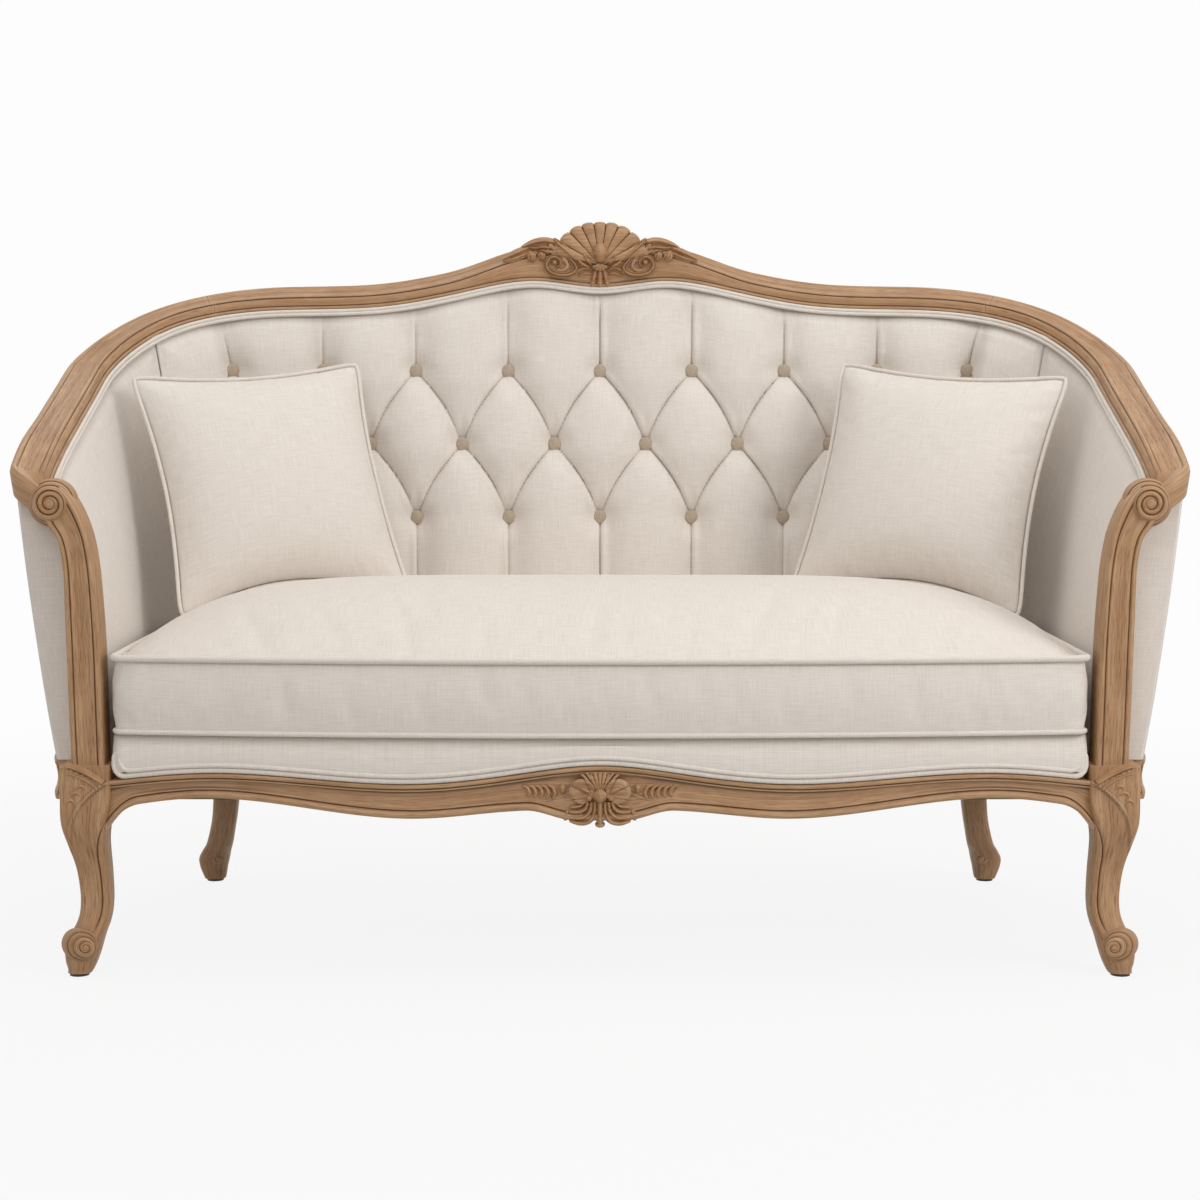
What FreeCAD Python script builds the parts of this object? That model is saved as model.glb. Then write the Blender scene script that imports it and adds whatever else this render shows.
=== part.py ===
import FreeCAD, Part
import math
import os
from FreeCAD import Placement, Rotation, Vector

# Curved loveseat, millimetres.
# X runs to the viewer's right, Y to the back, Z up, with the origin on the floor under the middle.
# Rails and walls follow one plan line, the centre line of the top rail.
# A place on them is given by its length along that line, its depth inward from it and its height.

DIMENSIONS = [
    # Overall
    ("overall_width", 1552, "over the outer beads of the arm rails"),
    ("overall_depth", 756, "apron flower to the back of the crest rail"),
    # Plan of the top rail
    ("rail_depth", 46, "top rail, inner to outer face"),
    ("rail_height", 37, "top rail, lower face to outer bead"),
    ("rail_overhang", 24, "arm rail centre line to the outer bead"),
    ("back_radius", 3600, "plan curve of the back"),
    ("corner_radius", 270, "plan curve of the corners"),
    ("front_set", 78, "arm post centre plane behind the foremost point"),
    # Elevation of the top rail's inner lower edge
    ("shoulder_height", 894, "at the level part of the back"),
    ("crest_rise", 38, "at the middle, above the shoulder"),
    ("crest_arch", 47.5, "at the arches beside the middle"),
    ("crest_ease", 33, "where the arch falls"),
    ("crest_neck", 8.5, "where the arch meets the level part"),
    ("arm_end_height", 640, "at the arm post"),
    ("crest_extra", 28, "added rail height at the middle"),
    ("rail_fascia", 18, "flat inner face of the rail"),
    ("rail_roll", 22, "outward roll of the rail on the arms, degrees"),
    ("rail_roll_end", 35, "outward roll at the arm post, degrees"),
    # Wall
    ("seat_inset_back", 46, "seat rail face inside the rail line, back"),
    ("seat_inset_arm", 5, "seat rail face inside the rail line, arms"),
    ("seat_inset_front", 50, "seat rail face inside the rail line, front legs"),
    ("tuck_length", 150, "length over which the outside arm turns in to the post"),
    ("cover_thickness", 3, "outside covers with their board"),
    ("cover_set", 3, "outside covers inside the seat rail's face"),
    ("cover_bulge", 6, "swell of the outside cover, back"),
    ("cover_bulge_arm", 13, "swell of the outside covers, arms"),
    ("cover_tuck", 28, "outside arm drawn in at the post, half way up"),
    ("cover_gap", 1.2, "outside covers below the top rail"),
    ("wall_cavity", 24, "outer face to the back of the inside pads"),
    ("pad_foot", 104, "inside pad face at the seat, inside the rail line"),
    ("pad_crown", 18, "swell of the inside pads"),
    ("pad_lift", 6, "inside pads above the seat rails"),
    ("pad_tuck", 26, "inside arm drawn in at the post"),
    ("seam_draw", 10, "inside pads drawn in at their seams"),
    ("welt_radius", 4, "welt along the show-wood"),
    ("welt_gap", 2, "top rail to the inside pads, less the welt"),
    ("welt_set", 2, "that welt inside the rail's inner edge"),
    ("seam_set", 202, "seam of the inside back and inside arm, past the start of the corner"),
    ("seam_radius", 2.4, "welt down the outside seams"),
    ("stile_width", 44, "back stiles along the line"),
    # Tufting
    ("tuft_columns", 5, "tuft spaces each side of the middle"),
    ("tuft_first", 93, "upper button row below the shoulder"),
    ("tuft_pitch", 113.5, "button rows apart"),
    ("tuft_depth", 20, "buttons below the pad face"),
    ("pleat_depth", 10, "pleats below the pad face"),
    ("tuft_puff", 9, "swell of each diamond"),
    ("pad_least", 6, "least pad thickness at a button"),
    ("button_radius", 12, "tuft button"),
    ("button_dome", 6, "tuft button, dome height"),
    ("button_lift", 2, "tuft button before the deepest point of its tuft"),
    ("button_lift_corner", 2.2, "added to that lift for the upper buttons round the corners"),
    # Seat frame
    ("seat_rail_top", 280, "side and back seat rails"),
    ("seat_rail_height", 54, "side and back seat rails"),
    ("seat_rail_thickness", 32, "side and back seat rails"),
    ("front_rail_depth", 36, "front rail, front to back"),
    ("front_rail_reach", 28, "front rail face before the post plane, at its ends"),
    ("front_bow", 40, "bow of the front rail in plan"),
    ("front_top_end", -20, "front rail top above the seat rails, at the legs"),
    ("front_top_hip", -8, "the same, beside the legs"),
    ("front_top_dip", -19, "the same, lowest"),
    ("front_top_mid", 6, "the same, middle"),
    ("front_foot_end", 57, "front rail underside below the seat rails' top, at the legs"),
    ("front_foot_hip", 41, "the same, beside the legs"),
    ("front_foot_dip", 64, "the same, lowest"),
    ("front_foot_mid", 53, "the same, middle"),
    ("spring_rail_thickness", 24, "rail that carries the webbing"),
    ("spring_rail_set", 5, "that rail behind the front legs"),
    # Arm posts and front legs
    ("post_depth", 50, "front to back"),
    ("post_recess", 2.5, "sunk panel on the face of the post"),
    ("post_margin", 8, "that panel inside the edges of the post"),
    ("scroll_radius", 27, "scroll at the top of the post"),
    ("scroll_drop", 18, "centre of that scroll below the arm rail's edge"),
    ("scroll_inset", 39, "that centre inside the rail line"),
    ("scroll_eye", 11, "raised eye of the scroll, radius"),
    ("scroll_relief", 3, "that eye before the face of the post"),
    ("leg_inset", 79, "front leg's centre inside the rail line"),
    ("leg_block", 66, "square top of the front leg"),
    ("leg_block_height", 52, "height of that square"),
    ("toe_shift", 14, "front foot outside its leg, to the side and to the front"),
    ("glide_height", 4, "foot glides"),
    ("glide_radius", 13, "foot glides"),
    ("rear_share", 0.495, "crest joint and rear leg, share of the half line"),
    ("rear_block", 52, "rear leg block along the line"),
    ("rear_splay", 54, "rear foot behind its block"),
    ("rear_spread", 30, "rear foot outside its block"),
    ("tenon_length", 44, "loose tenons in the frame joints"),
    ("tenon_width", 10, "loose tenons"),
    ("tenon_height", 16, "loose tenons"),
    ("tenon_stagger", 10, "rear tenons above and below the middle of the seat rails"),
    ("block_reach", 90, "front corner blocks along the front rail"),
    ("block_depth", 36, "rear corner blocks across the corner"),
    ("block_drop", 8, "corner blocks below the top of the seat rails"),
    # Seat
    ("deck_inset", 114, "deck edge inside the rail line"),
    ("deck_thickness", 38.6, "padded deck"),
    ("border_set", 2, "front border behind the front rail's face"),
    ("dust_thickness", 1.2, "dust cover"),
    ("webbing_thickness", 2, "seat and back webbing"),
    ("webbing_width", 58, "seat and back webbing"),
    ("webbing_gap", 1.1, "back webbing to the tufted pad"),
    ("cushion_inset", 118, "cushion edge inside the rail line"),
    ("cushion_set", 4, "cushion front behind the front rail's face"),
    ("cushion_gap", 0.6, "cushion above the deck"),
    ("cushion_boxing", 97.4, "cushion underside to its upper seam"),
    ("cushion_crown", 86, "rise of the cushion above that seam"),
    ("cushion_swell", 3, "swell of the cushion's boxing"),
    ("cover_cloth", 2, "cushion and pillow covers"),
    ("piping_radius", 4.5, "cushion piping"),
    ("piping_corner", 16, "cushion piping round the front corners"),
    ("zip_width", 22, "zip tape along the cushion's back"),
    ("zip_thickness", 1.6, "that tape"),
    ("soft_clearance", 0.4, "soft pieces to their neighbours"),
    # Scatter pillows
    ("pillow_side", 353, "pillow corner to corner along a side"),
    ("pillow_half_thickness", 58, "pillow middle to face"),
    ("pillow_draw", 14, "drawn-in sides"),
    ("pillow_piping", 3.5, "pillow piping radius"),
    ("pillow_inset", 273, "pillow middle inside the rail line, from the side"),
    ("pillow_set", 274, "pillow middle inside the rail line, from the back"),
    ("pillow_sink", 1.3, "pillow piping sunk below the cushion's smooth top"),
    ("pillow_yaw", 30.5, "turn towards the middle, degrees"),
    ("pillow_lean", 24, "lean backward, degrees"),
    ("pillow_tilt", 4, "outer corner lowered, degrees"),
    # Carving
    ("shell_radius", 70, "crest shell"),
    ("shell_rise", 69, "crest shell's hinge above the shoulder"),
    ("shell_thickness", 14, "crest shell at its ribs"),
    ("shell_flute", 5, "depth of its flutes"),
    ("shell_ribs", 11, "crest shell"),
    ("flower_drop", 34, "apron flower's centre below the seat rails' top"),
    ("flower_bud", 13, "apron flower's bud"),
    ("flower_plate", 5.6, "apron flower's petals before the rail"),
    ("flower_relief", 9.6, "apron flower's bud before the rail"),
]

doc = FreeCAD.newDocument("CurvedLoveseat")
sheet = doc.addObject("Spreadsheet::Sheet", "Dimensions")
for row, (alias, value, meaning) in enumerate(DIMENSIONS, start=1):
    sheet.set(f"A{row}", meaning)
    sheet.set(f"B{row}", str(value))
    sheet.setAlias(f"B{row}", alias)
doc.recompute()

nodes = []


def size(alias):
    return float(sheet.get(alias))


def cell(alias):
    return f"{sheet.Name}.{alias}"


def keep(made):
    """Marks a document object as a finished piece."""
    nodes.append(made)
    return made


def feature(label, shape):
    made = doc.addObject("Part::Feature", label)
    made.Label = label
    made.Shape = shape
    return made


def mirrored(label, source):
    made = doc.addObject("Part::Mirroring", label)
    made.Label = label
    made.Source = source
    made.Normal = Vector(1, 0, 0)
    return made


def cut(label, base, tool):
    made = doc.addObject("Part::Cut", label)
    made.Label = label
    made.Base = base
    made.Tool = tool
    return made


def group(label, links):
    made = doc.addObject("Part::Compound", label)
    made.Label = label
    made.Links = links
    return made


# Curves


def smooth(low, high, value):
    share = min(1.0, max(0.0, (value - low) / (high - low)))
    return share * share * (3 - 2 * share)


def spline(knots):
    """Cubic curve through (position, value) knots, level at the first and free at the last."""
    at, value = zip(*knots)
    last = len(at) - 1
    step = [at[i + 1] - at[i] for i in range(last)]
    rise = [(value[i + 1] - value[i]) / step[i] for i in range(last)]
    upper = [0.5]
    right = [3 * rise[0] / step[0]]
    for i in range(1, last):
        pivot = 2 * (step[i - 1] + step[i]) - step[i - 1] * upper[-1]
        upper.append(step[i] / pivot)
        right.append((6 * (rise[i] - rise[i - 1]) - step[i - 1] * right[-1]) / pivot)
    bend = [0.0] * (last + 1)
    for i in reversed(range(last)):
        bend[i] = right[i] - upper[i] * bend[i + 1]

    def curve(x):
        x = abs(x)
        i = max(k for k in range(last) if k == 0 or at[k] <= x)
        a = (at[i + 1] - x) / step[i]
        b = 1 - a
        sag = ((a**3 - a) * bend[i] + (b**3 - b) * bend[i + 1]) * step[i] ** 2 / 6
        return a * value[i] + b * value[i + 1] + sag

    return curve


def spread(low, high, count):
    return [low + (high - low) * i / (count - 1) for i in range(count)]


# Plan line

rail_depth = size("rail_depth")
half_width = size("overall_width") / 2 - size("rail_overhang")
back_line = size("overall_depth") / 2 - rail_depth / 2
post_line = size("front_set") - size("overall_depth") / 2
post_back = post_line + size("post_depth") / 2
back_radius = size("back_radius")
corner_radius = size("corner_radius")
back_angle = math.asin((half_width - corner_radius) / (back_radius - corner_radius))
back_length = back_radius * back_angle
corner_length = corner_radius * (math.pi / 2 - back_angle)
corner_x = half_width - corner_radius
corner_y = back_line - back_radius + (back_radius - corner_radius) * math.cos(back_angle)


def station(y):
    """Length along the line at which the arm passes y."""
    return back_length + corner_length + corner_y - y


def plan(s):
    """Point of the line and its outward direction, s from the middle of the back."""
    side = math.copysign(1, s)
    s = abs(s)
    if s <= back_length:
        angle = s / back_radius
        centre = Vector(0, back_line - back_radius, 0)
        radius = back_radius
    elif s <= back_length + corner_length:
        angle = back_angle + (s - back_length) / corner_radius
        centre = Vector(corner_x, corner_y, 0)
        radius = corner_radius
    else:
        angle = math.pi / 2
        centre = Vector(half_width, corner_y - (s - back_length - corner_length), 0)
        radius = 0
    out = Vector(math.sin(angle), math.cos(angle), 0)
    point = centre + out * radius
    return Vector(side * point.x, point.y, 0), Vector(side * out.x, out.y, 0)


def place(s, depth, height, along=0):
    """Point at a depth inward and a height, moved along the tangent at s."""
    point, out = plan(s)
    tangent = Vector(out.y, -out.x, 0)
    return point - out * depth + tangent * along + Vector(0, 0, height)


def stations(low, high, step):
    """Places along the line a step apart, three times as close round the corners."""
    turns = [back_length, back_length + corner_length]
    marks = [low] + [t for t in sorted([-t for t in turns] + turns) if low < t < high] + [high]
    found = [low]
    for near, far in zip(marks, marks[1:]):
        bent = turns[0] < abs(near + far) / 2 < turns[1]
        count = math.ceil((far - near) / (step / 3 if bent else step))
        found += spread(near, far, count + 1)[1:]
    return found


rail_end = station(post_back)
rear_station = size("rear_share") * rail_end
seam_station = back_length + size("seam_set")
tuft_spacing = seam_station / size("tuft_columns")

shoulder = size("shoulder_height")
arm_fall = shoulder - size("arm_end_height")
tuft_rows = [shoulder - size("tuft_first") - row * size("tuft_pitch") for row in range(3)]
tuft_top, tuft_middle, tuft_bottom = tuft_rows
rail_edge = spline(
    [
        (0, shoulder + size("crest_rise")),
        (0.081 * rail_end, shoulder + size("crest_arch")),
        (0.162 * rail_end, shoulder + size("crest_ease")),
        (0.267 * rail_end, shoulder + size("crest_neck")),
        (0.42 * rail_end, shoulder),
        (0.567 * rail_end, shoulder - 0.126 * arm_fall),
        (0.68 * rail_end, shoulder - 0.343 * arm_fall),
        (0.81 * rail_end, shoulder - 0.587 * arm_fall),
        (0.94 * rail_end, shoulder - 0.843 * arm_fall),
        (rail_end, size("arm_end_height")),
    ]
)


def rail_roll(s):
    share = abs(s) / rail_end
    arm = size("rail_roll") * smooth(0.4, 0.7, share)
    end = (size("rail_roll_end") - size("rail_roll")) * smooth(0.88, 1, share)
    return math.radians(arm + end)


def rail_inner(s):
    """Depth of the rail's inner lower edge."""
    return rail_depth / 2 + 0.6 * size("rail_height") * math.sin(rail_roll(s))


def rail_stretch(s):
    """Upright sections of a sloping rail are taller by this factor."""
    probe = 0.5
    slope = (rail_edge(abs(s) + probe) - rail_edge(abs(s))) / probe
    return math.hypot(1, slope)


def rail_place(s, across, up):
    """Point of the rail, across inward and up from its inner lower edge."""
    roll = rail_roll(s)
    depth = rail_inner(s) + across * math.cos(roll) - up * math.sin(roll)
    rise = (up * math.cos(roll) + across * math.sin(roll)) * rail_stretch(s)
    return place(s, depth, rail_edge(s) + rise)


def bends(start, *steps, chords=2):
    """Points of a closed outline: a step of one point is a line, of two an arc through the first."""
    points = [start]
    for step in steps:
        if len(step) == 2:
            bend = Part.Arc(points[-1], step[0], step[1]).toShape()
            points += bend.discretize(chords + 1)[1:]
        else:
            points.append(step[0])
    if (points[-1] - start).Length < 1e-6:
        points.pop()
    return points


def polygon(points):
    return Part.makePolygon(points + points[:1])


def outline(start, *steps, chords=2):
    return polygon(bends(start, *steps, chords=chords))


def faceted(polygons):
    """Solid closed by flat polygons."""
    skin = Part.Shell([Part.Face(polygon(points)) for points in polygons])
    skin.sewShape()
    solid = Part.Solid(skin)
    if solid.Volume < 0:
        solid.reverse()
    return solid


def quilt(sections):
    """Solid skinned with flat triangles through flat sections of equal counts."""
    skin = [sections[0], sections[-1]]
    for near, far in zip(sections, sections[1:]):
        for i in range(len(near)):
            k = (i + 1) % len(near)
            skin += [[near[i], near[k], far[i]], [near[k], far[k], far[i]]]
    return faceted(skin)


def ring(centre, first, second, radius, sides=5):
    """Cord section with few sides, in the plane of two square directions."""
    points = []
    for number in range(sides):
        turn = 2 * math.pi * (number + 0.5) / sides
        points.append(centre + first * (radius * math.cos(turn)) + second * (radius * math.sin(turn)))
    return points


UP = Vector(0, 0, 1)


def loft(sections, ruled=False):
    return Part.makeLoft(sections, True, ruled)


def tangent(s):
    out = plan(s)[1]
    return Vector(out.y, -out.x, 0)


# Top rail


def rail_section(s):
    extra = size("crest_extra") * (1 - smooth(0.02, 0.2, abs(s) / rail_end))
    face = size("rail_fascia") + extra
    high = size("rail_height") + extra

    def at(across, up):
        return rail_place(s, across, up)

    return outline(
        at(0, 0),
        (at(0, face),),
        (at(-2.2, face + 3.8), at(-7, face + 3)),
        (at(-20, face + 6.5), at(-34, high - 2.5)),
        (at(-35, high - 4),),
        (at(-41, high), at(-rail_depth, high - 5)),
        (at(-rail_depth, 0),),
    )


crest_blank = feature(
    "crest_rail_blank",
    loft([rail_section(s) for s in spread(-rear_station, rear_station, 19)]),
)
arm_rail_blank = feature(
    "arm_rail_blank",
    loft([rail_section(s) for s in spread(rear_station, rail_end, 14)]),
)

# Seat rails


def tuck(s):
    """One at the arm post, fading to nothing over the tuck length."""
    share = min(1, (rail_end - abs(s)) / size("tuck_length"))
    return (1 - share) ** 2


def seat_inset(s):
    facing = plan(s)[1].y
    arm = size("seat_inset_arm")
    back = max(0, facing) ** 2 * (size("seat_inset_back") - arm)
    return arm + back + (size("seat_inset_front") - arm) * tuck(s)


seat_top = size("seat_rail_top")
seat_bottom = seat_top - size("seat_rail_height")
seat_thick = size("seat_rail_thickness")


def seat_rail_section(s):
    face = seat_inset(s)
    high = seat_top - seat_bottom

    def at(inward, up):
        return place(s, face + inward, seat_bottom + up)

    return bends(
        at(2, 0),
        (at(0, 4), at(2, 8)),
        (at(5, high / 2), at(2.5, high - 8)),
        (at(0.5, high - 4), at(2.5, high)),
        (at(seat_thick, high),),
        (at(seat_thick, 0),),
    )


leg_block = size("leg_block")
leg_x = half_width - size("leg_inset")
rail_half = leg_x - leg_block / 2
leg_back = post_line + leg_block / 2
side_start = rear_station + size("rear_block") / 2
side_end = station(leg_back)
back_end = rear_station - size("rear_block") / 2

side_blank = feature(
    "side_rail_blank",
    quilt([seat_rail_section(s) for s in stations(side_start, side_end, 75)]),
)
back_blank = feature(
    "back_rail_blank",
    quilt([seat_rail_section(s) for s in stations(-back_end, back_end, 120)]),
)

# Front rail

front_top = spline(
    [
        (0, seat_top + size("front_top_mid")),
        (0.163 * rail_half, seat_top + 0.56 * size("front_top_mid") + 0.44 * size("front_top_dip")),
        (0.366 * rail_half, seat_top + size("front_top_dip")),
        (0.8 * rail_half, seat_top + size("front_top_hip")),
        (rail_half, seat_top + size("front_top_end")),
    ]
)
front_foot = spline(
    [
        (0, seat_top - size("front_foot_mid")),
        (0.163 * rail_half, seat_top - size("front_foot_mid")),
        (0.366 * rail_half, seat_top - size("front_foot_dip")),
        (0.82 * rail_half, seat_top - size("front_foot_hip")),
        (rail_half, seat_top - size("front_foot_end")),
    ]
)


def front_face(x):
    return post_line - size("front_rail_reach") - size("front_bow") * (1 - (x / rail_half) ** 2)


def front_rail_section(x):
    face = front_face(x)
    foot = front_foot(x)
    high = front_top(x) - foot
    depth = size("front_rail_depth")

    def at(inward, up):
        return Vector(x, face + inward, foot + up)

    return outline(
        at(depth, 0),
        (at(5, 0),),
        (at(0, 5), at(5, 10)),
        (at(6.5, 10.5),),
        (at(8, (high + 4) / 2), at(4, high - 6)),
        (at(2.5, high - 3), at(4, high)),
        (at(depth, high),),
    )


front_blank = feature(
    "front_rail_blank",
    loft([front_rail_section(x) for x in spread(-rail_half, rail_half, 17)]),
)

# Front legs


def rounded_square(centre, half, radius):
    corner = radius * (1 - math.sqrt(0.5))
    ways = [(1, 1), (-1, 1), (-1, -1), (1, -1)]
    steps = []
    for sx, sy in ways:
        first = Vector(sx * half, sy * (half - radius), 0)
        second = Vector(sx * (half - radius), sy * half, 0)
        if sx != sy:
            first, second = second, first
        middle = Vector(sx * (half - corner), sy * (half - corner), 0)
        steps.append((centre + first,))
        steps.append((centre + middle, centre + second))
    return bends(steps[0][0], *steps[1:], chords=2)


def front_leg_shape():
    """Rounded squares from the foot up: share of the height, share of the shift, width, rounding."""
    levels = [
        (0, 1, 36, 14),
        (0.09, 1.14, 50, 18),
        (0.16, 0.93, 56, 20),
        (0.26, 0.07, 48, 18),
        (0.39, -0.43, 42, 15),
        (0.56, -0.36, 43, 14),
        (0.72, 0.07, 50, 13),
        (0.875, 0.2, 60, 11),
        (1, 0, leg_block, 9),
    ]
    foot = size("glide_height")
    high = seat_top - size("leg_block_height") - foot
    sections = []
    for share, lean, width, radius in levels:
        shift = lean * size("toe_shift")
        centre = Vector(leg_x + shift, post_line - shift, foot + share * high)
        sections.append(rounded_square(centre, width / 2, radius))
    sections.append([point + UP * size("leg_block_height") for point in sections[-1]])
    return quilt(sections)


front_leg_blank = feature("front_leg_blank", front_leg_shape())

# Rear legs


rear_foot = place(rear_station, seat_inset(rear_station) + seat_thick / 2 + 4, 0)


def rear_leg_shape():
    """Block on the seat rail line with a splayed leg: share of the fall, share of the splay, width, rounding."""
    ends = [rear_station - size("rear_block") / 2, rear_station + size("rear_block") / 2]
    sections = []
    for s in ends:
        near = seat_inset(s) + 2
        far = near + seat_thick + 2
        corners = [(near, seat_bottom), (near, seat_top), (far, seat_top), (far, seat_bottom)]
        sections.append([place(s, depth, height) for depth, height in corners])
    block = quilt(sections)
    top = Vector(rear_foot.x, rear_foot.y, seat_bottom)
    levels = [
        (0, 0, 40, 9),
        (0.25, 0.04, 40, 12),
        (0.52, 0.25, 38, 13),
        (0.72, 0.62, 40, 15),
        (0.83, 1.02, 47, 18),
        (0.92, 1.08, 42, 17),
        (1, 1, 34, 14),
    ]
    fall = seat_bottom - size("glide_height")
    leg = []
    for drop, share, width, radius in levels:
        shift = Vector(size("rear_spread") * share, size("rear_splay") * share, -drop * fall)
        leg.append(rounded_square(top + shift, width / 2, radius))
    return block.fuse(quilt(leg))


rear_leg_blank = feature("rear_leg_blank", rear_leg_shape())

# Arm posts, drawn in the front plane and padded to their depth


def new_body(label):
    made = doc.addObject("PartDesign::Body", label)
    made.Label = label
    return made


def sketch_on(body, role, name, curves):
    sketch = body.newObject("Sketcher::SketchObject", name)
    origin_plane = next(f for f in body.Origin.OriginFeatures if f.Role == role)
    sketch.AttachmentSupport = (origin_plane, [""])
    sketch.MapMode = "FlatFace"
    sketch.addGeometry(curves, False)
    return sketch


def flat_outline(start, *steps, chords=0):
    """Sketch curves of a closed outline given as plane points, its arcs in chords where asked."""
    curves = []
    at = Vector(*start, 0)
    for step in steps + ((start,),):
        points = [Vector(*p, 0) for p in step]
        if len(points) == 2 and chords:
            corners = Part.Arc(at, *points).toShape().discretize(chords + 1)
            curves += [Part.LineSegment(a, b) for a, b in zip(corners, corners[1:])]
        elif len(points) == 2:
            curves.append(Part.Arc(at, *points))
        elif (points[0] - at).Length > 1e-6:
            curves.append(Part.LineSegment(at, points[0]))
        at = points[-1]
    return curves


def pad(body, sketch, name, length, symmetric=False):
    made = body.newObject("PartDesign::Pad", name)
    made.Profile = sketch
    made.setExpression("Length", length)
    if symmetric:
        made.SideType = "Symmetric"
    return made


scroll_x = half_width - size("scroll_inset")
scroll_z = size("arm_end_height") - size("scroll_drop")
scroll = size("scroll_radius")
post_z = seat_top
post_waist = 0.55 * post_z + 0.45 * scroll_z


def on_scroll(angle):
    turn = math.radians(angle)
    return (scroll_x + scroll * math.cos(turn), scroll_z + scroll * math.sin(turn))


post_body = new_body("arm_post_body")
post_sketch = sketch_on(
    post_body,
    "XZ_Plane",
    "arm_post_outline",
    flat_outline(
        (scroll_x - 65, post_z),
        ((scroll_x - 62, post_waist), (scroll_x - 55, scroll_z - 80)),
        ((scroll_x - 38, scroll_z - 12), on_scroll(105)),
        (on_scroll(0), on_scroll(-75)),
        ((scroll_x - 9, scroll_z - 48), (scroll_x - 15, scroll_z - 80)),
        ((scroll_x - 18, post_waist), (scroll_x - 22, post_z)),
    ),
)
pad(post_body, post_sketch, "arm_post_pad", cell("post_depth"), True)
doc.recompute()
margin = size("post_margin")
eye_circle = Part.Circle(Vector(scroll_x, scroll_z, 0), UP, size("scroll_eye"))
eye_sketch = sketch_on(post_body, "XZ_Plane", "arm_post_eye", [eye_circle])
eye_sketch.setExpression("AttachmentOffset.Base.z", f"{cell('post_depth')} / 2")
pad(post_body, eye_sketch, "arm_post_eye_pad", cell("scroll_relief"))
panel_sketch = sketch_on(
    post_body,
    "XZ_Plane",
    "arm_post_panel",
    flat_outline(
        (scroll_x - 65 + margin, post_z + 3 * margin),
        ((scroll_x - 62 + margin, post_waist), (scroll_x - 55 + margin, scroll_z - 80)),
        ((scroll_x - 48 + margin, scroll_z - 50), (scroll_x - 31 + margin, scroll_z - 30)),
        ((scroll_x - 19, scroll_z - 56), (scroll_x - 15 - margin, scroll_z - 80)),
        ((scroll_x - 18 - margin, post_waist), (scroll_x - 22 - margin, post_z + 3 * margin)),
    ),
)
panel_sketch.setExpression("AttachmentOffset.Base.z", f"{cell('post_depth')} / 2")
panel = post_body.newObject("PartDesign::Pocket", "arm_post_panel_pocket")
panel.Profile = panel_sketch
panel.setExpression("Length", cell("post_recess"))
post_body.setExpression(
    "Placement.Base.y",
    f"{cell('front_set')} - {cell('overall_depth')} / 2",
)

# Loose tenons of the frame joints, right side


def tenon(label, centre, direction):
    """Box with its length along a direction, centred on a joint."""
    made = doc.addObject("Part::Box", label)
    made.setExpression("Length", cell("tenon_length"))
    made.setExpression("Width", cell("tenon_width"))
    made.setExpression("Height", cell("tenon_height"))
    turn = Rotation(Vector(1, 0, 0), direction)
    middle = Vector(size("tenon_length"), size("tenon_width"), size("tenon_height")) * 0.5
    made.Placement = Placement(centre - turn.multVec(middle), turn)
    return made


side_depth = seat_inset(side_end) + seat_thick / 2
rear_depth = seat_inset(rear_station) + seat_thick / 2 + 2
seat_mid = (seat_top + seat_bottom) / 2
stagger = size("tenon_stagger")
front_mid = (front_top(rail_half) + front_foot(rail_half)) / 2
front_depth = front_face(rail_half) + size("front_rail_depth") / 2
rail_mid = size("rail_fascia") * 0.65
tenons = [
    tenon("tenon_front", Vector(rail_half, front_depth, front_mid), Vector(1, 0, 0)),
    tenon("tenon_post", Vector(leg_x, post_line, post_z), UP),
    tenon("tenon_side", place(side_end, side_depth, seat_mid), Vector(0, 1, 0)),
    tenon("tenon_rear_side", place(side_start, rear_depth, seat_mid + stagger), tangent(side_start)),
    tenon("tenon_rear_back", place(back_end, rear_depth, seat_mid - stagger), tangent(back_end)),
    tenon("tenon_crest", rail_place(rear_station, -rail_depth / 2, rail_mid), tangent(rear_station)),
]
tenons_right = group("frame_tenons_right", tenons)
tenons_left = mirrored("frame_tenons_left", tenons_right)
tenons_all = keep(group("frame_tenons", [tenons_right, tenons_left]))

crest_rail = keep(cut("crest_rail", crest_blank, tenons_all))
front_rail = keep(cut("front_rail", front_blank, tenons_all))
back_rail = keep(cut("back_rail", back_blank, tenons_all))
right_blanks = [
    ("arm_rail", arm_rail_blank),
    ("side_rail", side_blank),
    ("front_leg", front_leg_blank),
    ("rear_leg", rear_leg_blank),
    ("arm_post", post_body),
]
wood = {}
for name, blank in right_blanks:
    wood[name] = keep(cut(f"{name}_right", blank, tenons_right))
    keep(mirrored(f"{name}_left", wood[name]))
doc.recompute()

# Foot glides

glides = []
for name, x, y in [
    ("front", leg_x + size("toe_shift"), post_line - size("toe_shift")),
    ("rear", rear_foot.x + size("rear_spread"), rear_foot.y + size("rear_splay")),
]:
    glide = doc.addObject("Part::Prism", f"glide_{name}")
    glide.Polygon = 12
    glide.setExpression("Circumradius", cell("glide_radius"))
    glide.setExpression("Height", cell("glide_height"))
    glide.Placement.Base = Vector(x, y, 0)
    glides += [glide, mirrored(f"glide_{name}_left", glide)]
keep(group("foot_glides", glides))

# Spring rail and corner blocks, fitted against their neighbours

spring_front = leg_back + size("spring_rail_set")
spring_back = spring_front + size("spring_rail_thickness")


def prism(points, low, high):
    corners = [Vector(x, y, low) for x, y in points]
    face = Part.Face(Part.makePolygon(corners + corners[:1]))
    return face.extrude(Vector(0, 0, high - low))


def flipped_shape(made):
    return made.Shape.mirror(Vector(), Vector(1, 0, 0))


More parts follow.
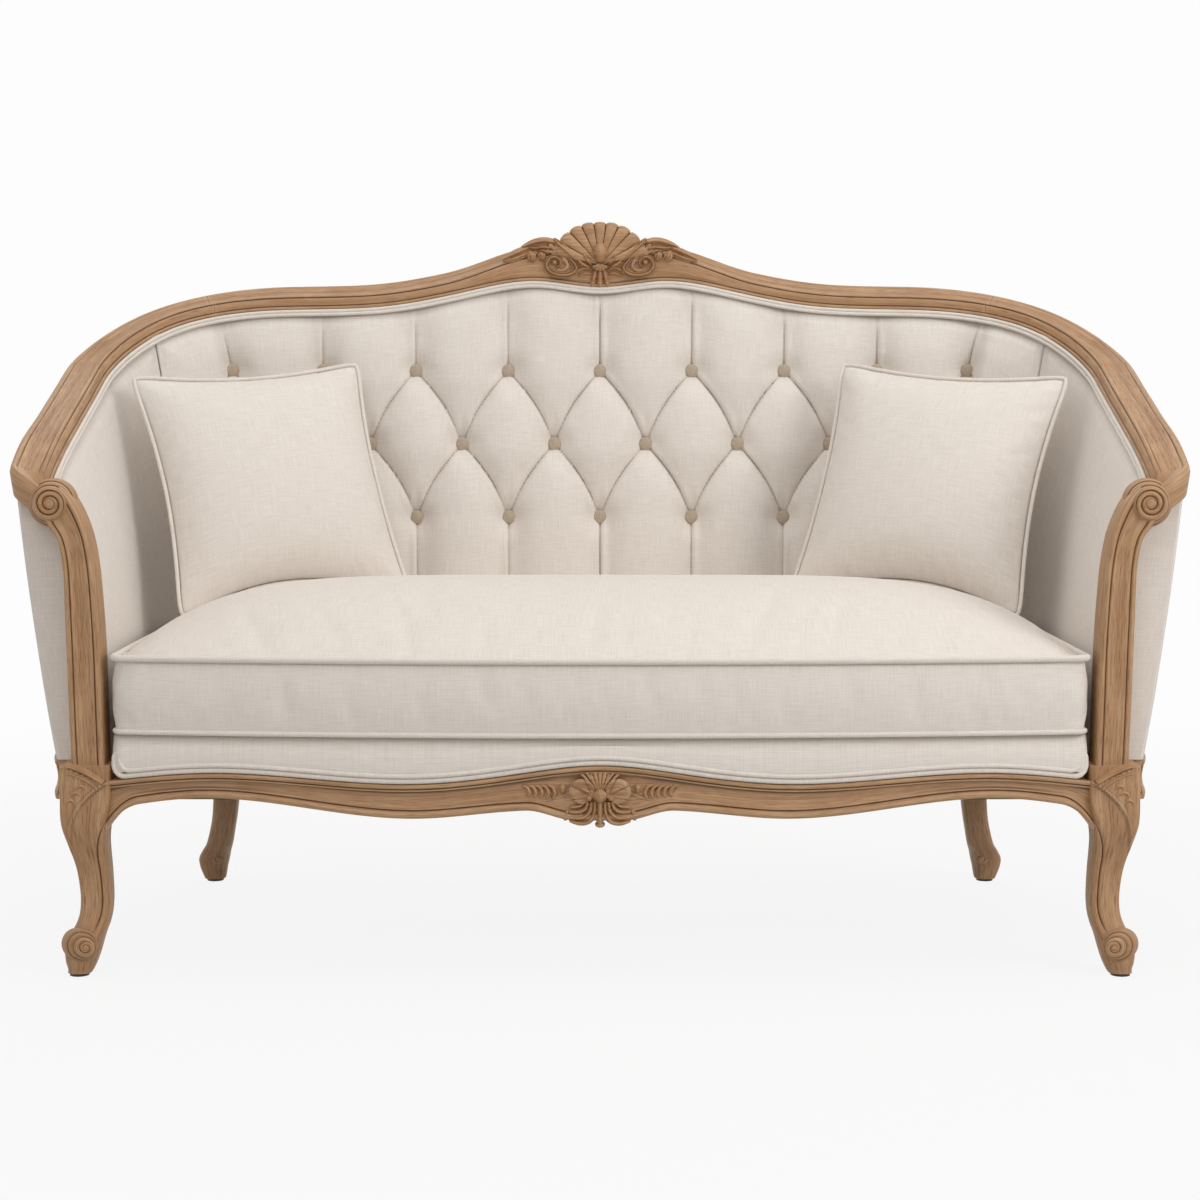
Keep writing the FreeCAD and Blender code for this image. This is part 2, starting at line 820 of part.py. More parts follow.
def fitted(label, shape, neighbours):
    """The largest solid left when the neighbours are taken out of a blank."""
    left = shape.cut(neighbours)
    return feature(label, max(left.Solids, key=lambda solid: solid.Volume))


spring_reach = half_width - seat_inset(station(spring_back)) - seat_thick / 2
spring_blank = prism(
    [
        (-spring_reach, spring_front),
        (spring_reach, spring_front),
        (spring_reach, spring_back),
        (-spring_reach, spring_back),
    ],
    seat_bottom,
    seat_top,
)
side_pair = [side_blank.Shape, flipped_shape(side_blank)]
spring_rail = keep(fitted("spring_rail", spring_blank, side_pair))

block_reach = size("block_reach")
block_sink = size("front_rail_depth") / 2
front_block = fitted(
    "front_corner_block",
    prism(
        [
            (rail_half - block_reach, front_face(rail_half - block_reach) + block_sink),
            (rail_half + leg_block / 8, front_face(rail_half) + block_sink),
            (rail_half + leg_block / 8, spring_front + leg_block / 8),
            (rail_half - block_reach / 2, spring_front + leg_block / 8),
        ],
        seat_bottom + 2 * size("block_drop"),
        front_top(rail_half),
    ),
    [front_blank.Shape, front_leg_blank.Shape, spring_rail.Shape],
)
block_near = seat_inset(rear_station) + 0.8 * seat_thick
block_far = block_near + size("block_depth")
rear_block_points = [
    place(rear_station, block_near, 0, -0.8 * block_reach),
    place(rear_station, block_near, 0, 0.8 * block_reach),
    place(rear_station, block_far, 0, 0.47 * block_reach),
    place(rear_station, block_far, 0, -0.47 * block_reach),
]
rear_corner = fitted(
    "rear_corner_block",
    prism(
        [(p.x, p.y) for p in rear_block_points],
        seat_bottom + size("block_drop"),
        seat_top - size("block_drop"),
    ),
    [rear_leg_blank.Shape, side_blank.Shape, back_blank.Shape],
)
keep(
    group(
        "corner_blocks",
        [
            front_block,
            mirrored("front_corner_block_left", front_block),
            rear_corner,
            mirrored("rear_corner_block_left", rear_corner),
        ],
    )
)

# Wall: outside covers, stiles and back webbing

cover = size("cover_thickness")
cavity = size("wall_cavity")
clear = size("soft_clearance")


def wall_top(s):
    """Depth and height of the outer cover's upper edge under the rail."""
    roll = rail_roll(s)
    depth = rail_inner(s) - rail_depth * math.cos(roll) + 3
    height = rail_edge(s) - (rail_depth - 3) * math.sin(roll) * rail_stretch(s)
    return depth, height - size("cover_gap")


def wall_line(s, inward):
    """Foot, middle and top of the outer face moved inward."""
    depth, height = wall_top(s)
    foot = seat_inset(s) + size("cover_set")
    facing = max(0, plan(s)[1].y) ** 2
    bulge = size("cover_bulge_arm") + (size("cover_bulge") - size("cover_bulge_arm")) * facing
    middle = (foot + depth) / 2 - bulge + size("cover_tuck") * tuck(s)
    return [
        (foot + inward, seat_top + clear),
        (middle + inward, (seat_top + height) / 2),
        (depth + inward, height - inward * math.tan(rail_roll(s)) * 0.2),
    ]


def cover_section(s):
    outer = [place(s, *p) for p in wall_line(s, 0)]
    inner = [place(s, *p) for p in wall_line(s, cover)]
    return bends(outer[0], (outer[1], outer[2]), (inner[2],), (inner[1], inner[0]), chords=3)


keep(
    feature(
        "outside_back",
        quilt([cover_section(s) for s in stations(-rear_station + 3, rear_station - 3, 48)]),
    )
)
outside_arm = keep(
    feature(
        "outside_arm_right",
        quilt([cover_section(s) for s in stations(rear_station + 3, rail_end - clear, 60)]),
    )
)
keep(mirrored("outside_arm_left", outside_arm))


def seam_rings(s, radius):
    """Rings of the welt that closes the gap between two outside covers."""
    (low, z_low), (middle, z_middle), (top, z_top) = wall_line(s, 0)
    knots = [(z_low + radius, low - 1), (z_middle, middle - 1), (z_top - radius, top - 1)]
    points = [place(s, depth, height) for height, depth in knots]
    return [ring(p, Vector(1, 0, 0), Vector(0, 1, 0), radius) for p in points]


seam_right = feature("outside_seam_right", quilt(seam_rings(rear_station, size("seam_radius"))))
keep(group("outside_welt", [seam_right, mirrored("outside_seam_left", seam_right)]))


def stile_shape(s, rails):
    near, far = cover + 4, cavity - 4.5
    foot = seat_inset(s) + size("cover_set")
    half = size("stile_width") / 2
    depth, height = wall_top(s)
    climb = height + rail_depth / 2 - seat_top
    lean = (depth - foot) / (height - seat_top)
    sections = []
    for z in (seat_top, seat_top + climb):
        base = foot + lean * (z - seat_top)
        corners = [(near, -half), (far, -half), (far, half), (near, half)]
        sections.append([place(s, base + d, z, along) for d, along in corners])
    blank = quilt(sections)
    return max(blank.cut(rails).Solids, key=lambda solid: -solid.BoundBox.ZMin)


crest_shape = crest_blank.Shape
arm_shape = arm_rail_blank.Shape
stile = keep(feature("back_stile_right", stile_shape(rear_station, [crest_shape, arm_shape])))
keep(mirrored("back_stile_left", stile))
keep(feature("back_stile_middle", stile_shape(0, [crest_shape])))


def pad_back(s, height):
    """Depth of the straight back of the tufted pad."""
    foot = seat_inset(s) + size("cover_set")
    depth, top = wall_top(s)
    return foot + cavity + (depth - foot) * (height - seat_top) / (top - seat_top)


def band_section(s, height):
    half = size("webbing_width") / 2
    thick = size("webbing_thickness")
    low = pad_back(s, height - half) - size("webbing_gap")
    high = pad_back(s, height + half) - size("webbing_gap")
    return [
        place(s, low, height - half),
        place(s, high, height + half),
        place(s, high - thick, height + half),
        place(s, low - thick, height - half),
    ]


band_reach = rear_station + 20
bands = []
lowest_band = (seat_top + tuft_bottom - size("webbing_width") / 2) / 2
for number, height in enumerate([lowest_band] + tuft_rows[::-1]):
    sections = [band_section(s, height) for s in stations(-band_reach, band_reach, 90)]
    bands.append(feature(f"back_band_{number}", quilt(sections)))
keep(group("back_webbing", bands))

# Inside pads


pad_bottom = seat_top + size("pad_lift")


def pad_line(s):
    """Foot, middle and top of the pad's face, depth and height."""
    top = rail_inner(s) + size("welt_set") + size("pad_tuck") * tuck(s)
    high = rail_edge(s) - (2 * size("welt_radius") + size("welt_gap")) * rail_stretch(s)
    foot = size("pad_foot")
    low = pad_bottom
    middle = (foot + top) / 2 + size("pad_crown")
    return [(foot, low), (middle, (low + high) / 2), (top, high)]


def pad_face(s, height):
    (foot, low), (middle, _), (top, high) = pad_line(s)
    share = (height - low) / (high - low)
    chord = foot + (top - foot) * share
    return chord + 4 * (middle - (foot + top) / 2) * share * (1 - share)


def pad_rear(s):
    """Foot and top of the pad's straight back."""
    low = pad_bottom
    high = pad_line(s)[2][1]
    drop = (rail_inner(s) - pad_back(s, high)) * math.tan(rail_roll(s)) * rail_stretch(s)
    high -= max(0, drop)
    return (pad_back(s, low), low), (pad_back(s, high), high)


def sewn_depth(s, height, deepest):
    """Depth sewn in, less where the pad is thin."""
    return min(deepest, pad_face(s, height) - pad_back(s, height) - size("pad_least"))


def tuft_seat(s, height):
    """Depth of the pad's face at a button."""
    return pad_face(s, height) - sewn_depth(s, height, size("tuft_depth"))


def button_lift(s, height):
    cornered = abs(s) > back_length and height > tuft_middle
    return size("button_lift") + (size("button_lift_corner") if cornered else 0)


def tuft_section(s):
    """Upright slice of the tufted pad: three swells between two sewn lines."""
    phase = abs(s) / tuft_spacing
    away = abs(phase - round(phase)) * 2
    upper = tuft_top + (tuft_middle - tuft_top) * away
    lower = tuft_bottom + (tuft_middle - tuft_bottom) * away
    upper = max(upper, tuft_middle + 1.5)
    lower = min(lower, tuft_middle - 1.5)
    deepest = size("pleat_depth") + (size("tuft_depth") - size("pleat_depth")) * math.cos(math.pi * away) ** 2
    pleat = (size("tuft_puff") + size("pleat_depth")) * (1 - smooth(0, 0.45, away))
    (_, low), _, (top, high) = pad_line(s)

    def sewn(height):
        return sewn_depth(s, height, deepest)

    def face(height, lift):
        return place(s, pad_face(s, height) + lift, height)

    middle = (lower + upper) / 2
    swell = size("tuft_puff") * (1 - away) - sewn(middle) * away
    foot_rear, top_rear = pad_rear(s)
    drawn = size("seam_draw") / 2 * (1 - smooth(0, 0.45, away))
    return bends(
        place(s, *foot_rear),
        (face(low, -drawn),),
        (face((low + lower) / 2, size("tuft_puff") - pleat), face(lower, -sewn(lower))),
        (face(middle, swell), face(upper, -sewn(upper))),
        (face((upper + high) / 2, size("tuft_puff") - pleat), face(high, -drawn)),
        (place(s, *top_rear),),
        chords=4,
    )


tuft_steps = int(2 * size("tuft_columns")) * 6 + 1
keep(
    feature(
        "inside_back",
        quilt([tuft_section(s) for s in spread(-seam_station + clear, seam_station - clear, tuft_steps)]),
    )
)


def arm_pad_section(s):
    """Upright slice of the plain arm pad, drawn in at the seam."""
    drawn = size("seam_draw") * (1 - smooth(seam_station, seam_station + 4 * size("seam_draw"), s))
    (foot, low), (middle, half), (top, high) = pad_line(s)
    (rear_foot, _), (rear_top, rear_high) = pad_rear(s)
    rear_middle = (rear_foot + rear_top) / 2 + size("welt_set") + size("pad_tuck") * tuck(s)
    return bends(
        place(s, rear_foot, low),
        (place(s, foot - drawn / 2, low),),
        (place(s, middle - drawn, half), place(s, top - drawn / 2, high)),
        (place(s, rear_top, rear_high),),
        (place(s, rear_middle, (low + rear_high) / 2), place(s, rear_foot, low)),
        chords=4,
    )


arm_pad = keep(
    feature(
        "inside_arm_right",
        quilt([arm_pad_section(s) for s in stations(seam_station + clear, rail_end - clear, 60)]),
    )
)
keep(mirrored("inside_arm_left", arm_pad))


def welt_ring(s):
    radius = size("welt_radius")
    centre = place(s, rail_inner(s) + size("welt_set"), rail_edge(s) - (radius + 0.3) * rail_stretch(s))
    return ring(centre, plan(s)[1], UP, radius)


welt_reach = rail_end - clear
keep(feature("back_welt", quilt([welt_ring(s) for s in stations(-welt_reach, welt_reach, 60)])))

# Tuft buttons

button_radius = size("button_radius")


def button_shape(seat, out):
    """Domed button with a tapered back, its tip at the seat and its face along a direction."""
    side = Vector(out.y, -out.x, 0)
    shoulder_height = 0.75 * button_radius
    levels = [(0, 0.2), (shoulder_height, 1), (shoulder_height + size("button_dome"), 0.55)]
    return quilt([ring(seat + out * reach, side, UP, share * button_radius, 6) for reach, share in levels])


button_shapes = []
columns = range(1 - int(size("tuft_columns")), int(size("tuft_columns")))
for height, shift in zip(tuft_rows, (0, 0.5, 0)):
    for column in columns:
        if shift and column == columns[-1]:
            continue
        s = (column + shift) * tuft_spacing
        seat = place(s, tuft_seat(s, height) + button_lift(s, height), height)
        button_shapes.append(button_shape(seat, -plan(s)[1]))
keep(feature("tuft_buttons", Part.Compound(button_shapes)))

# Seat webbing, deck, front border and dust cover

web_thick = size("webbing_thickness")
web_half = size("webbing_width") / 2
strap_inset = size("cover_set") + cavity
strap_start = spring_front + size("spring_rail_thickness") / 6
straps = []
for number, x in enumerate(spread(-0.78 * rail_half, 0.78 * rail_half, 9)):
    end = back_line - back_radius + math.sqrt(back_radius**2 - x**2) - seat_inset(0) - strap_inset
    strap = doc.addObject("Part::Box", f"seat_strap_{number}")
    strap.setExpression("Length", cell("webbing_width"))
    strap.Width = end - strap_start
    strap.setExpression("Height", cell("webbing_thickness"))
    strap.Placement.Base = Vector(x - web_half, strap_start, seat_top)
    straps.append(strap)
keep(group("seat_webbing", straps))


def plan_outline(inset, front):
    """Sketch curves of a seat shape: inset from the rail line, with a bowed front edge."""
    radius = corner_radius - inset
    far = back_radius - inset
    turn = (back_angle + math.pi / 2) / 2
    start = corner_x + radius * math.sin(back_angle)
    start_y = corner_y + radius * math.cos(back_angle)
    middle = (corner_x + radius * math.sin(turn), corner_y + radius * math.cos(turn))
    edge = corner_x + radius
    return flat_outline(
        (-edge, front(edge)),
        ((0, front(0)), (edge, front(edge))),
        ((edge, corner_y),),
        (middle, (start, start_y)),
        ((0, back_line - back_radius + far), (-start, start_y)),
        ((-middle[0], middle[1]), (-edge, corner_y)),
    )


border_back = size("front_rail_depth") - size("border_set") + clear
deck_low = seat_top + web_thick + clear
deck_top = deck_low + size("deck_thickness")


def deck_front(x):
    return front_face(x) + size("front_rail_depth") + 2 * clear


deck_body = new_body("seat_deck")
deck_sketch = sketch_on(deck_body, "XY_Plane", "seat_deck_outline", plan_outline(size("deck_inset"), deck_front))
deck_sketch.setExpression(
    "AttachmentOffset.Base.z",
    f"{cell('seat_rail_top')} + {cell('webbing_thickness')} + {cell('soft_clearance')}",
)
pad(deck_body, deck_sketch, "seat_deck_pad", cell("deck_thickness"))
keep(deck_body)


def border_section(x):
    face = front_face(x) + size("border_set")
    foot = front_top(x) + 2 * size("welt_radius") + 3 * clear
    top = deck_top

    def at(inward, height):
        return Vector(x, face + inward, height)

    return bends(
        at(border_back, foot),
        (at(0, foot),),
        (at(-3, (foot + top - 9) / 2), at(1.5, top - 9)),
        (at(4, top - 2.5), at(11, top)),
        (at(border_back, top),),
        chords=3,
    )


border_half = rail_half - 3
keep(feature("front_border", quilt([border_section(x) for x in spread(-border_half, border_half, 21)])))


def border_ring(x, inward):
    radius = size("welt_radius")
    centre = Vector(x, front_face(x) + inward, front_top(x) + radius + 2 * clear)
    return ring(centre, Vector(0, 1, 0), UP, radius)


border_cords = []
for number, inward in enumerate((7, 15.6)):
    rings = [border_ring(x, inward) for x in spread(-border_half, border_half, 25)]
    border_cords.append(feature(f"border_cord_{number}", quilt(rings)))
keep(group("border_welt", border_cords))


def dust_shape():
    reach = station(spring_front)
    points = [place(s, seat_inset(s) + 10, 0) for s in spread(-reach, reach, 37)]
    face = Part.Face(Part.makePolygon(points + points[:1]))
    sheet_shape = face.extrude(UP * -size("dust_thickness"))
    sheet_shape.translate(UP * (seat_bottom - clear / 2))
    legs = [n.Shape for n in nodes if n.Label.startswith(("rear_leg", "front_leg"))]
    return max(sheet_shape.cut(legs).Solids, key=lambda solid: solid.Volume)


doc.recompute()
keep(feature("dust_cover", dust_shape()))

# Seat cushion


def cushion_back(x, inset):
    """Y of the cushion's back edge at x."""
    far = back_radius - inset
    near = corner_radius - inset
    if abs(x) <= corner_x + near * math.sin(back_angle):
        return back_line - back_radius + math.sqrt(far**2 - x**2)
    return corner_y + math.sqrt(max(0, near**2 - (abs(x) - corner_x) ** 2))


def corner_set(from_end):
    """How far a rounded front corner lies behind the front edge."""
    radius = size("piping_corner")
    return radius - math.sqrt(radius**2 - max(0, radius - from_end) ** 2)


cushion_bottom = deck_top + size("cushion_gap")
cushion_edge = cushion_bottom + size("cushion_boxing")


def crown_rise(x, share, half):
    """Rise of the cushion's top above its upper seam, a share of the way to its back."""
    return size("cushion_crown") * (1 - (abs(x) / half) ** 4) * (1 - abs(2 * share - 1) ** 2.4)


def cushion_shape(trim):
    """Crowned box cushion, trimmed all round."""
    inset = size("cushion_inset") + trim
    near = corner_radius - inset
    half = corner_x + near
    low = cushion_bottom + trim
    edge = cushion_edge - trim
    swell = size("cushion_swell")
    turns = [corner_x + near * math.sin(math.radians(a)) for a in (24, 42, 60, 76, 90)]
    right = spread(0, corner_x + near * math.sin(back_angle), 5)[1:] + turns
    stations = [-x for x in reversed(right)] + [0] + right
    sections = []
    for x in stations:
        front = front_face(x) + size("cushion_set") + trim + corner_set(half - abs(x))
        back = cushion_back(x, inset)
        half_up = (low + edge) / 2
        top = []
        for share in spread(0, 1, 8):
            y = front + 0.5 + (back - front - 1) * share
            top.append(Vector(x, y, edge + crown_rise(x, share, half)))
        points = [Vector(x, back - 4, low), Vector(x, front + 4, low), Vector(x, front - swell, half_up)]
        points += top + [Vector(x, back + swell, half_up)]
        sections.append(points)
    return quilt(sections)


core_trim = size("cover_cloth") + 0.7
cushion_outer = cushion_shape(0)
keep(feature("seat_cushion_cover", cushion_outer.cut(cushion_shape(size("cover_cloth")))))
keep(feature("seat_cushion_core", cushion_shape(core_trim)))


def cord(points, radius):
    """Round cord along points, square to its ends."""
    rings = []
    last = len(points) - 1
    for i, point in enumerate(points):
        heading = points[min(last, i + 1)] - points[max(0, i - 1)]
        heading.normalize()
        rings.append(ring(point, heading.cross(UP), UP, radius))
    return quilt(rings)


def cushion_cord(height, outset):
    """Right half of the piping round the cushion, from the middle of the front to the back."""
    inset = size("cushion_inset") - outset
    near = corner_radius - inset
    far = back_radius - inset
    edge = corner_x + near
    radius = size("piping_corner")
    butt = clear / 2

    def front(x):
        return front_face(x) + size("cushion_set") - outset

    foot = front(edge - radius)
    points = [Vector(x, front(x), height) for x in spread(butt, edge - radius, 6)]
    for angle in spread(-72, 0, 5):
        turn = math.radians(angle)
        points.append(Vector(edge - radius + radius * math.cos(turn), foot + radius + radius * math.sin(turn), height))
    points += [Vector(edge, y, height) for y in spread(foot + 3 * radius, corner_y - radius, 2)]
    for angle in spread(0, math.pi / 2 - back_angle, 8):
        points.append(Vector(corner_x + near * math.cos(angle), corner_y + near * math.sin(angle), height))
    for angle in spread(0.8 * back_angle, butt / far, 4):
        points.append(Vector(far * math.sin(angle), back_line - back_radius + far * math.cos(angle), height))
    return cord(points, size("piping_radius"))


upper_cord = feature("cushion_cord_upper", cushion_cord(cushion_edge + 4.2, 2.9))
lower_cord = feature("cushion_cord_lower", cushion_cord(cushion_bottom + 8, 4.4))
cushion_cords = [upper_cord, lower_cord]
cushion_cords += [mirrored(f"{c.Label}_left", c) for c in cushion_cords]
keep(group("seat_cushion_piping", cushion_cords))


def zip_section(s):
    depth = size("cushion_inset") - size("cushion_swell") - clear
    middle = (cushion_bottom + cushion_edge) / 2
    half = size("zip_width") / 2
    outer = depth - size("zip_thickness")
    corners = [(depth, -half), (outer, -half), (outer, half), (depth, half)]
    return [place(s, d, middle + h) for d, h in corners]


zip_reach = 0.72 * back_length
keep(feature("cushion_zip", quilt([zip_section(s) for s in spread(-zip_reach, zip_reach, 9)])))

# Scatter pillows, drawn corner to corner about their own middle

pillow_half = size("pillow_side") * math.sqrt(0.5)


def pillow_side(share, half):
    """Half width of the pillow across a diagonal, at a share of the way to its corner."""
    return half * (1 - share) - 4 * size("pillow_draw") * share * (1 - share)


def pillow_shape(trim):
    half = pillow_half - 2 * trim
    thick = size("pillow_half_thickness") - trim
    shares = [0.97, 0.88, 0.74, 0.58, 0.42, 0.26, 0.12, 0]
    stations = [-f for f in shares] + shares[-2::-1]
    sections = []
    for f in stations:
        x = f * half
        wide = pillow_side(abs(f), half)
        puff = max(1.2, thick * (1 - abs(f) ** 1.7))
        left, right = Vector(x, -wide, 0), Vector(x, wide, 0)
        lens = ((Vector(x, 0, puff), right), (Vector(x, 0, -puff), left))
        sections.append(bends(left, *lens, chords=5))
    return quilt(sections)


def pillow_seam():
    """Middle of the piping along one drawn-in side of the pillow."""
    out = (size("pillow_piping") + clear) * math.sqrt(0.5)
    points = []
    for share in spread(0.02, 0.98, 9):
        along = share * pillow_half
        points.append(Vector(along + out, pillow_side(share, pillow_half) + out, 0))
    return points


def pillow_cord():
    """Piping along the pillow's seam: four cords that butt at the corners."""
    sides = []
    for quarter in range(4):
        side = cord(pillow_seam(), size("pillow_piping"))
        side.rotate(Vector(), UP, 90 * quarter)
        sides.append(side)
    return Part.Compound(sides)


pillow_turn = (
    Rotation(UP, -size("pillow_yaw"))
    .multiply(Rotation(Vector(1, 0, 0), 90 - size("pillow_lean")))
    .multiply(Rotation(UP, 45 - size("pillow_tilt")))
)
pillow_middle = Vector(half_width - size("pillow_inset"), back_line - size("pillow_set"), 0)


def cushion_top(x, y):
    """Height of the cushion's top."""
    inset = size("cushion_inset")
    front = front_face(x) + size("cushion_set")
    share = (y - front) / (cushion_back(x, inset) - front)
    return cushion_edge + crown_rise(x, share, corner_x + corner_radius - inset)


def pillow_height():
    """Height of the pillow's middle with its piping on the cushion."""
    heights = []
    for quarter in range(4):
        turn = pillow_turn.multiply(Rotation(UP, 90 * quarter))
        for point in pillow_seam():
            reach = turn.multVec(point)
            at = pillow_middle + reach
            heights.append(cushion_top(at.x, at.y) - reach.z)
    return max(heights) + size("pillow_piping") - size("pillow_sink")


pillow_place = Placement(pillow_middle + UP * pillow_height(), pillow_turn)
pillow_trim = size("cover_cloth") + 0.7
pillow_parts = [
    ("cover", pillow_shape(0).cut(pillow_shape(size("cover_cloth")))),
    ("insert", pillow_shape(pillow_trim)),
    ("piping", pillow_cord()),
]
for name, shape in pillow_parts:
    piece = keep(feature(f"pillow_{name}_right", shape))
    piece.Placement = pillow_place
    keep(mirrored(f"pillow_{name}_left", piece))

# Crest shell: a fan of ribs and flutes that widen from the hinge to a scalloped rim


def shell_shape():
    radius = size("shell_radius")
    ribs = int(size("shell_ribs"))
    shell_hinge = shoulder + size("shell_rise")
    back = back_line - rail_depth / 2 - 2 * clear
    hinge = Vector(0, back - 0.5 * size("shell_thickness"), shell_hinge - 0.3 * radius)
    front, rear = [], []
    for number, angle in enumerate(spread(math.radians(-8), math.radians(188), 2 * ribs + 1)):
        valley = number % 2 == 0
        reach = radius * (0.93 if valley else 1)
        proud = size("shell_thickness") - (size("shell_flute") if valley else 0)
        rim = Vector(reach * math.cos(angle), back, shell_hinge + reach * math.sin(angle))
        rear.append(rim)
        front.append(rim - Vector(0, proud, 0))
    root = Vector(hinge.x, back, hinge.z)
    faces = [[hinge, front[0], rear[0], root], [hinge, root, rear[-1], front[-1]]]
    for i in range(2 * ribs):
        faces.append([hinge, front[i + 1], front[i]])
        faces.append([front[i], front[i + 1], rear[i + 1], rear[i]])
        faces.append([root, rear[i], rear[i + 1]])
    return faceted(faces)


keep(feature("crest_shell", shell_shape()))

# Apron flower: a plate of petals and leaves with a bud, planted on the front rail

flower_body = new_body("apron_flower")
flower_right = [
    ((22, 33), (23, 20)),
    ((50, 24), (54, 9)),
    ((82, 19), (106, 5)),
    ((80, -6), (52, -8)),
    ((44, -19), (24, -17)),
    ((36, -33), (21, -42)),
    ((8, -36), (4, -25)),
]


def flipped(points):
    return [(-x, z) for x, z in points]


flower_left = []
ends = [(10, 31)] + [step[1] for step in flower_right]
for number in reversed(range(len(flower_right))):
    flower_left.append(tuple(flipped([flower_right[number][0], ends[number]])))
flower_sketch = sketch_on(
    flower_body,
    "XZ_Plane",
    "apron_flower_outline",
    flat_outline((-10, 31), ((0, 40), (10, 31)), *flower_right, ((-4, -25),), *flower_left, chords=3),
)
pad(flower_body, flower_sketch, "apron_flower_plate", cell("flower_plate"))
bud_circle = Part.Circle(Vector(), UP, size("flower_bud"))
bud_sketch = sketch_on(flower_body, "XZ_Plane", "apron_flower_bud", [bud_circle])
pad(flower_body, bud_sketch, "apron_flower_bud_pad", cell("flower_relief"))
flower_body.Placement.Base = Vector(0, front_face(0) - clear, seat_top - size("flower_drop"))
keep(flower_body)

doc.recompute()

# Every piece is checked, then written


def faults(made):
    found = [state for state in made.State if state in ("Invalid", "Error")]
    shape = getattr(made, "Shape", None)
    if shape is not None and made in nodes and (shape.isNull() or not shape.isValid()):
        found.append("bad shape")
    return found


broken = [(made.Label, faults(made)) for made in doc.Objects if faults(made)]
if broken:
    raise RuntimeError(f"pieces that failed: {broken}")
os.makedirs("parts", exist_ok=True)
for made in nodes:
    made.Shape.exportStep(os.path.join("parts", f"{made.Label}.step"))
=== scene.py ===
import math

import bmesh
import bpy
import numpy as np
from mathutils import Matrix, Vector


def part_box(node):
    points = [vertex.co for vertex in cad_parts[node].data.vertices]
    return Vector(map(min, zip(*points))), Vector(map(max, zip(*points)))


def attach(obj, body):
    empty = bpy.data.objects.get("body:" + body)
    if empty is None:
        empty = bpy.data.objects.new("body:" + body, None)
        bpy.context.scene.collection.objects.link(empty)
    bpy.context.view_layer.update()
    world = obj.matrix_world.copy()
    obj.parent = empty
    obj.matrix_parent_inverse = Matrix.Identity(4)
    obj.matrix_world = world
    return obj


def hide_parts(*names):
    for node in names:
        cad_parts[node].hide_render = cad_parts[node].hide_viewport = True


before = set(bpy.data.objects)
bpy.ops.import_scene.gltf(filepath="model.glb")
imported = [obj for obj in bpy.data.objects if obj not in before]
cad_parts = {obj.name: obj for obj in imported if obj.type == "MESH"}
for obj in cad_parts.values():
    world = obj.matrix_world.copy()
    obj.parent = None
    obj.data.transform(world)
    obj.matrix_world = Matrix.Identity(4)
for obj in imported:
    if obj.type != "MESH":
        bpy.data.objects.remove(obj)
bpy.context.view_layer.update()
scene = bpy.context.scene

# Curved loveseat. Sizes are in millimetres, as the part has them, and meshes in metres.
# A place on the rails and walls is a length s along the top rail's plan line,
# a depth inward from that line and a height.
MM = 0.001
HALF_WIDTH = 752.0
BACK_LINE = 355.0
POST_LINE = -300.0
POST_BACK = -275.0
BACK_RADIUS = 3600.0
CORNER_RADIUS = 270.0
RAIL_DEPTH = 46.0
RAIL_HEIGHT = 37.0
SHOULDER = 894.0
ARM_END = 640.0
SEAT_TOP = 280.0
SEAT_BOTTOM = 226.0
SEAT_THICK = 32.0
LEG_X = 673.0
LEG_BLOCK = 66.0
RAIL_HALF = LEG_X - LEG_BLOCK / 2
SCROLL_X, SCROLL_Z, SCROLL = 713.0, 622.0, 27.0
CLEAR = 0.4
SIDES = ((1, "right"), (-1, "left"))

BACK_ANGLE = math.asin((HALF_WIDTH - CORNER_RADIUS) / (BACK_RADIUS - CORNER_RADIUS))
BACK_LENGTH = BACK_RADIUS * BACK_ANGLE
CORNER_LENGTH = CORNER_RADIUS * (math.pi / 2 - BACK_ANGLE)
CORNER_X = HALF_WIDTH - CORNER_RADIUS
CORNER_Y = BACK_LINE - BACK_RADIUS + (BACK_RADIUS - CORNER_RADIUS) * math.cos(BACK_ANGLE)
RAIL_END = BACK_LENGTH + CORNER_LENGTH + CORNER_Y - POST_BACK
REAR_STATION = 0.495 * RAIL_END
SEAM_STATION = BACK_LENGTH + 202.0

# Camera, floor and light

scene.view_settings.view_transform = "Standard"
camera_data = bpy.data.cameras.new("camera")
camera_data.lens = 69.57
camera_data.sensor_width = 36
camera = bpy.data.objects.new("camera", camera_data)
camera.location = (0, -3.323, 0.756)
# Tilted down by 4.93 degrees
camera.rotation_euler = (math.radians(90 - 4.93), 0, 0)
scene.collection.objects.link(camera)
scene.camera = camera


def linear(colour):
    """Linear colour of an sRGB hex value."""
    parts = [int(colour[i : i + 2], 16) / 255 for i in (1, 3, 5)]
    return [p / 12.92 if p <= 0.04045 else ((p + 0.055) / 1.055) ** 2.4 for p in parts] + [1.0]


def set_inputs(tree, node, inputs):
    """Sets inputs of a node, each to a value, to an output, or to a node for its first output."""
    for socket, value in inputs.items():
        if isinstance(value, bpy.types.Node):
            value = value.outputs[0]
        if isinstance(value, bpy.types.NodeSocket):
            tree.links.new(value, node.inputs[socket])
        else:
            node.inputs[socket].default_value = value


def add_node(tree, kind, inputs=None, **settings):
    made = tree.nodes.new("ShaderNode" + kind)
    for name, value in settings.items():
        setattr(made, name, value)
    set_inputs(tree, made, inputs or {})
    return made


def new_material(name):
    material = bpy.data.materials.new(name)
    material.use_nodes = True
    tree = material.node_tree
    return material, tree, tree.nodes["Principled BSDF"], tree.nodes["Material Output"]


def math_of(tree, operation, *values):
    return add_node(tree, "Math", dict(enumerate(values)), operation=operation)


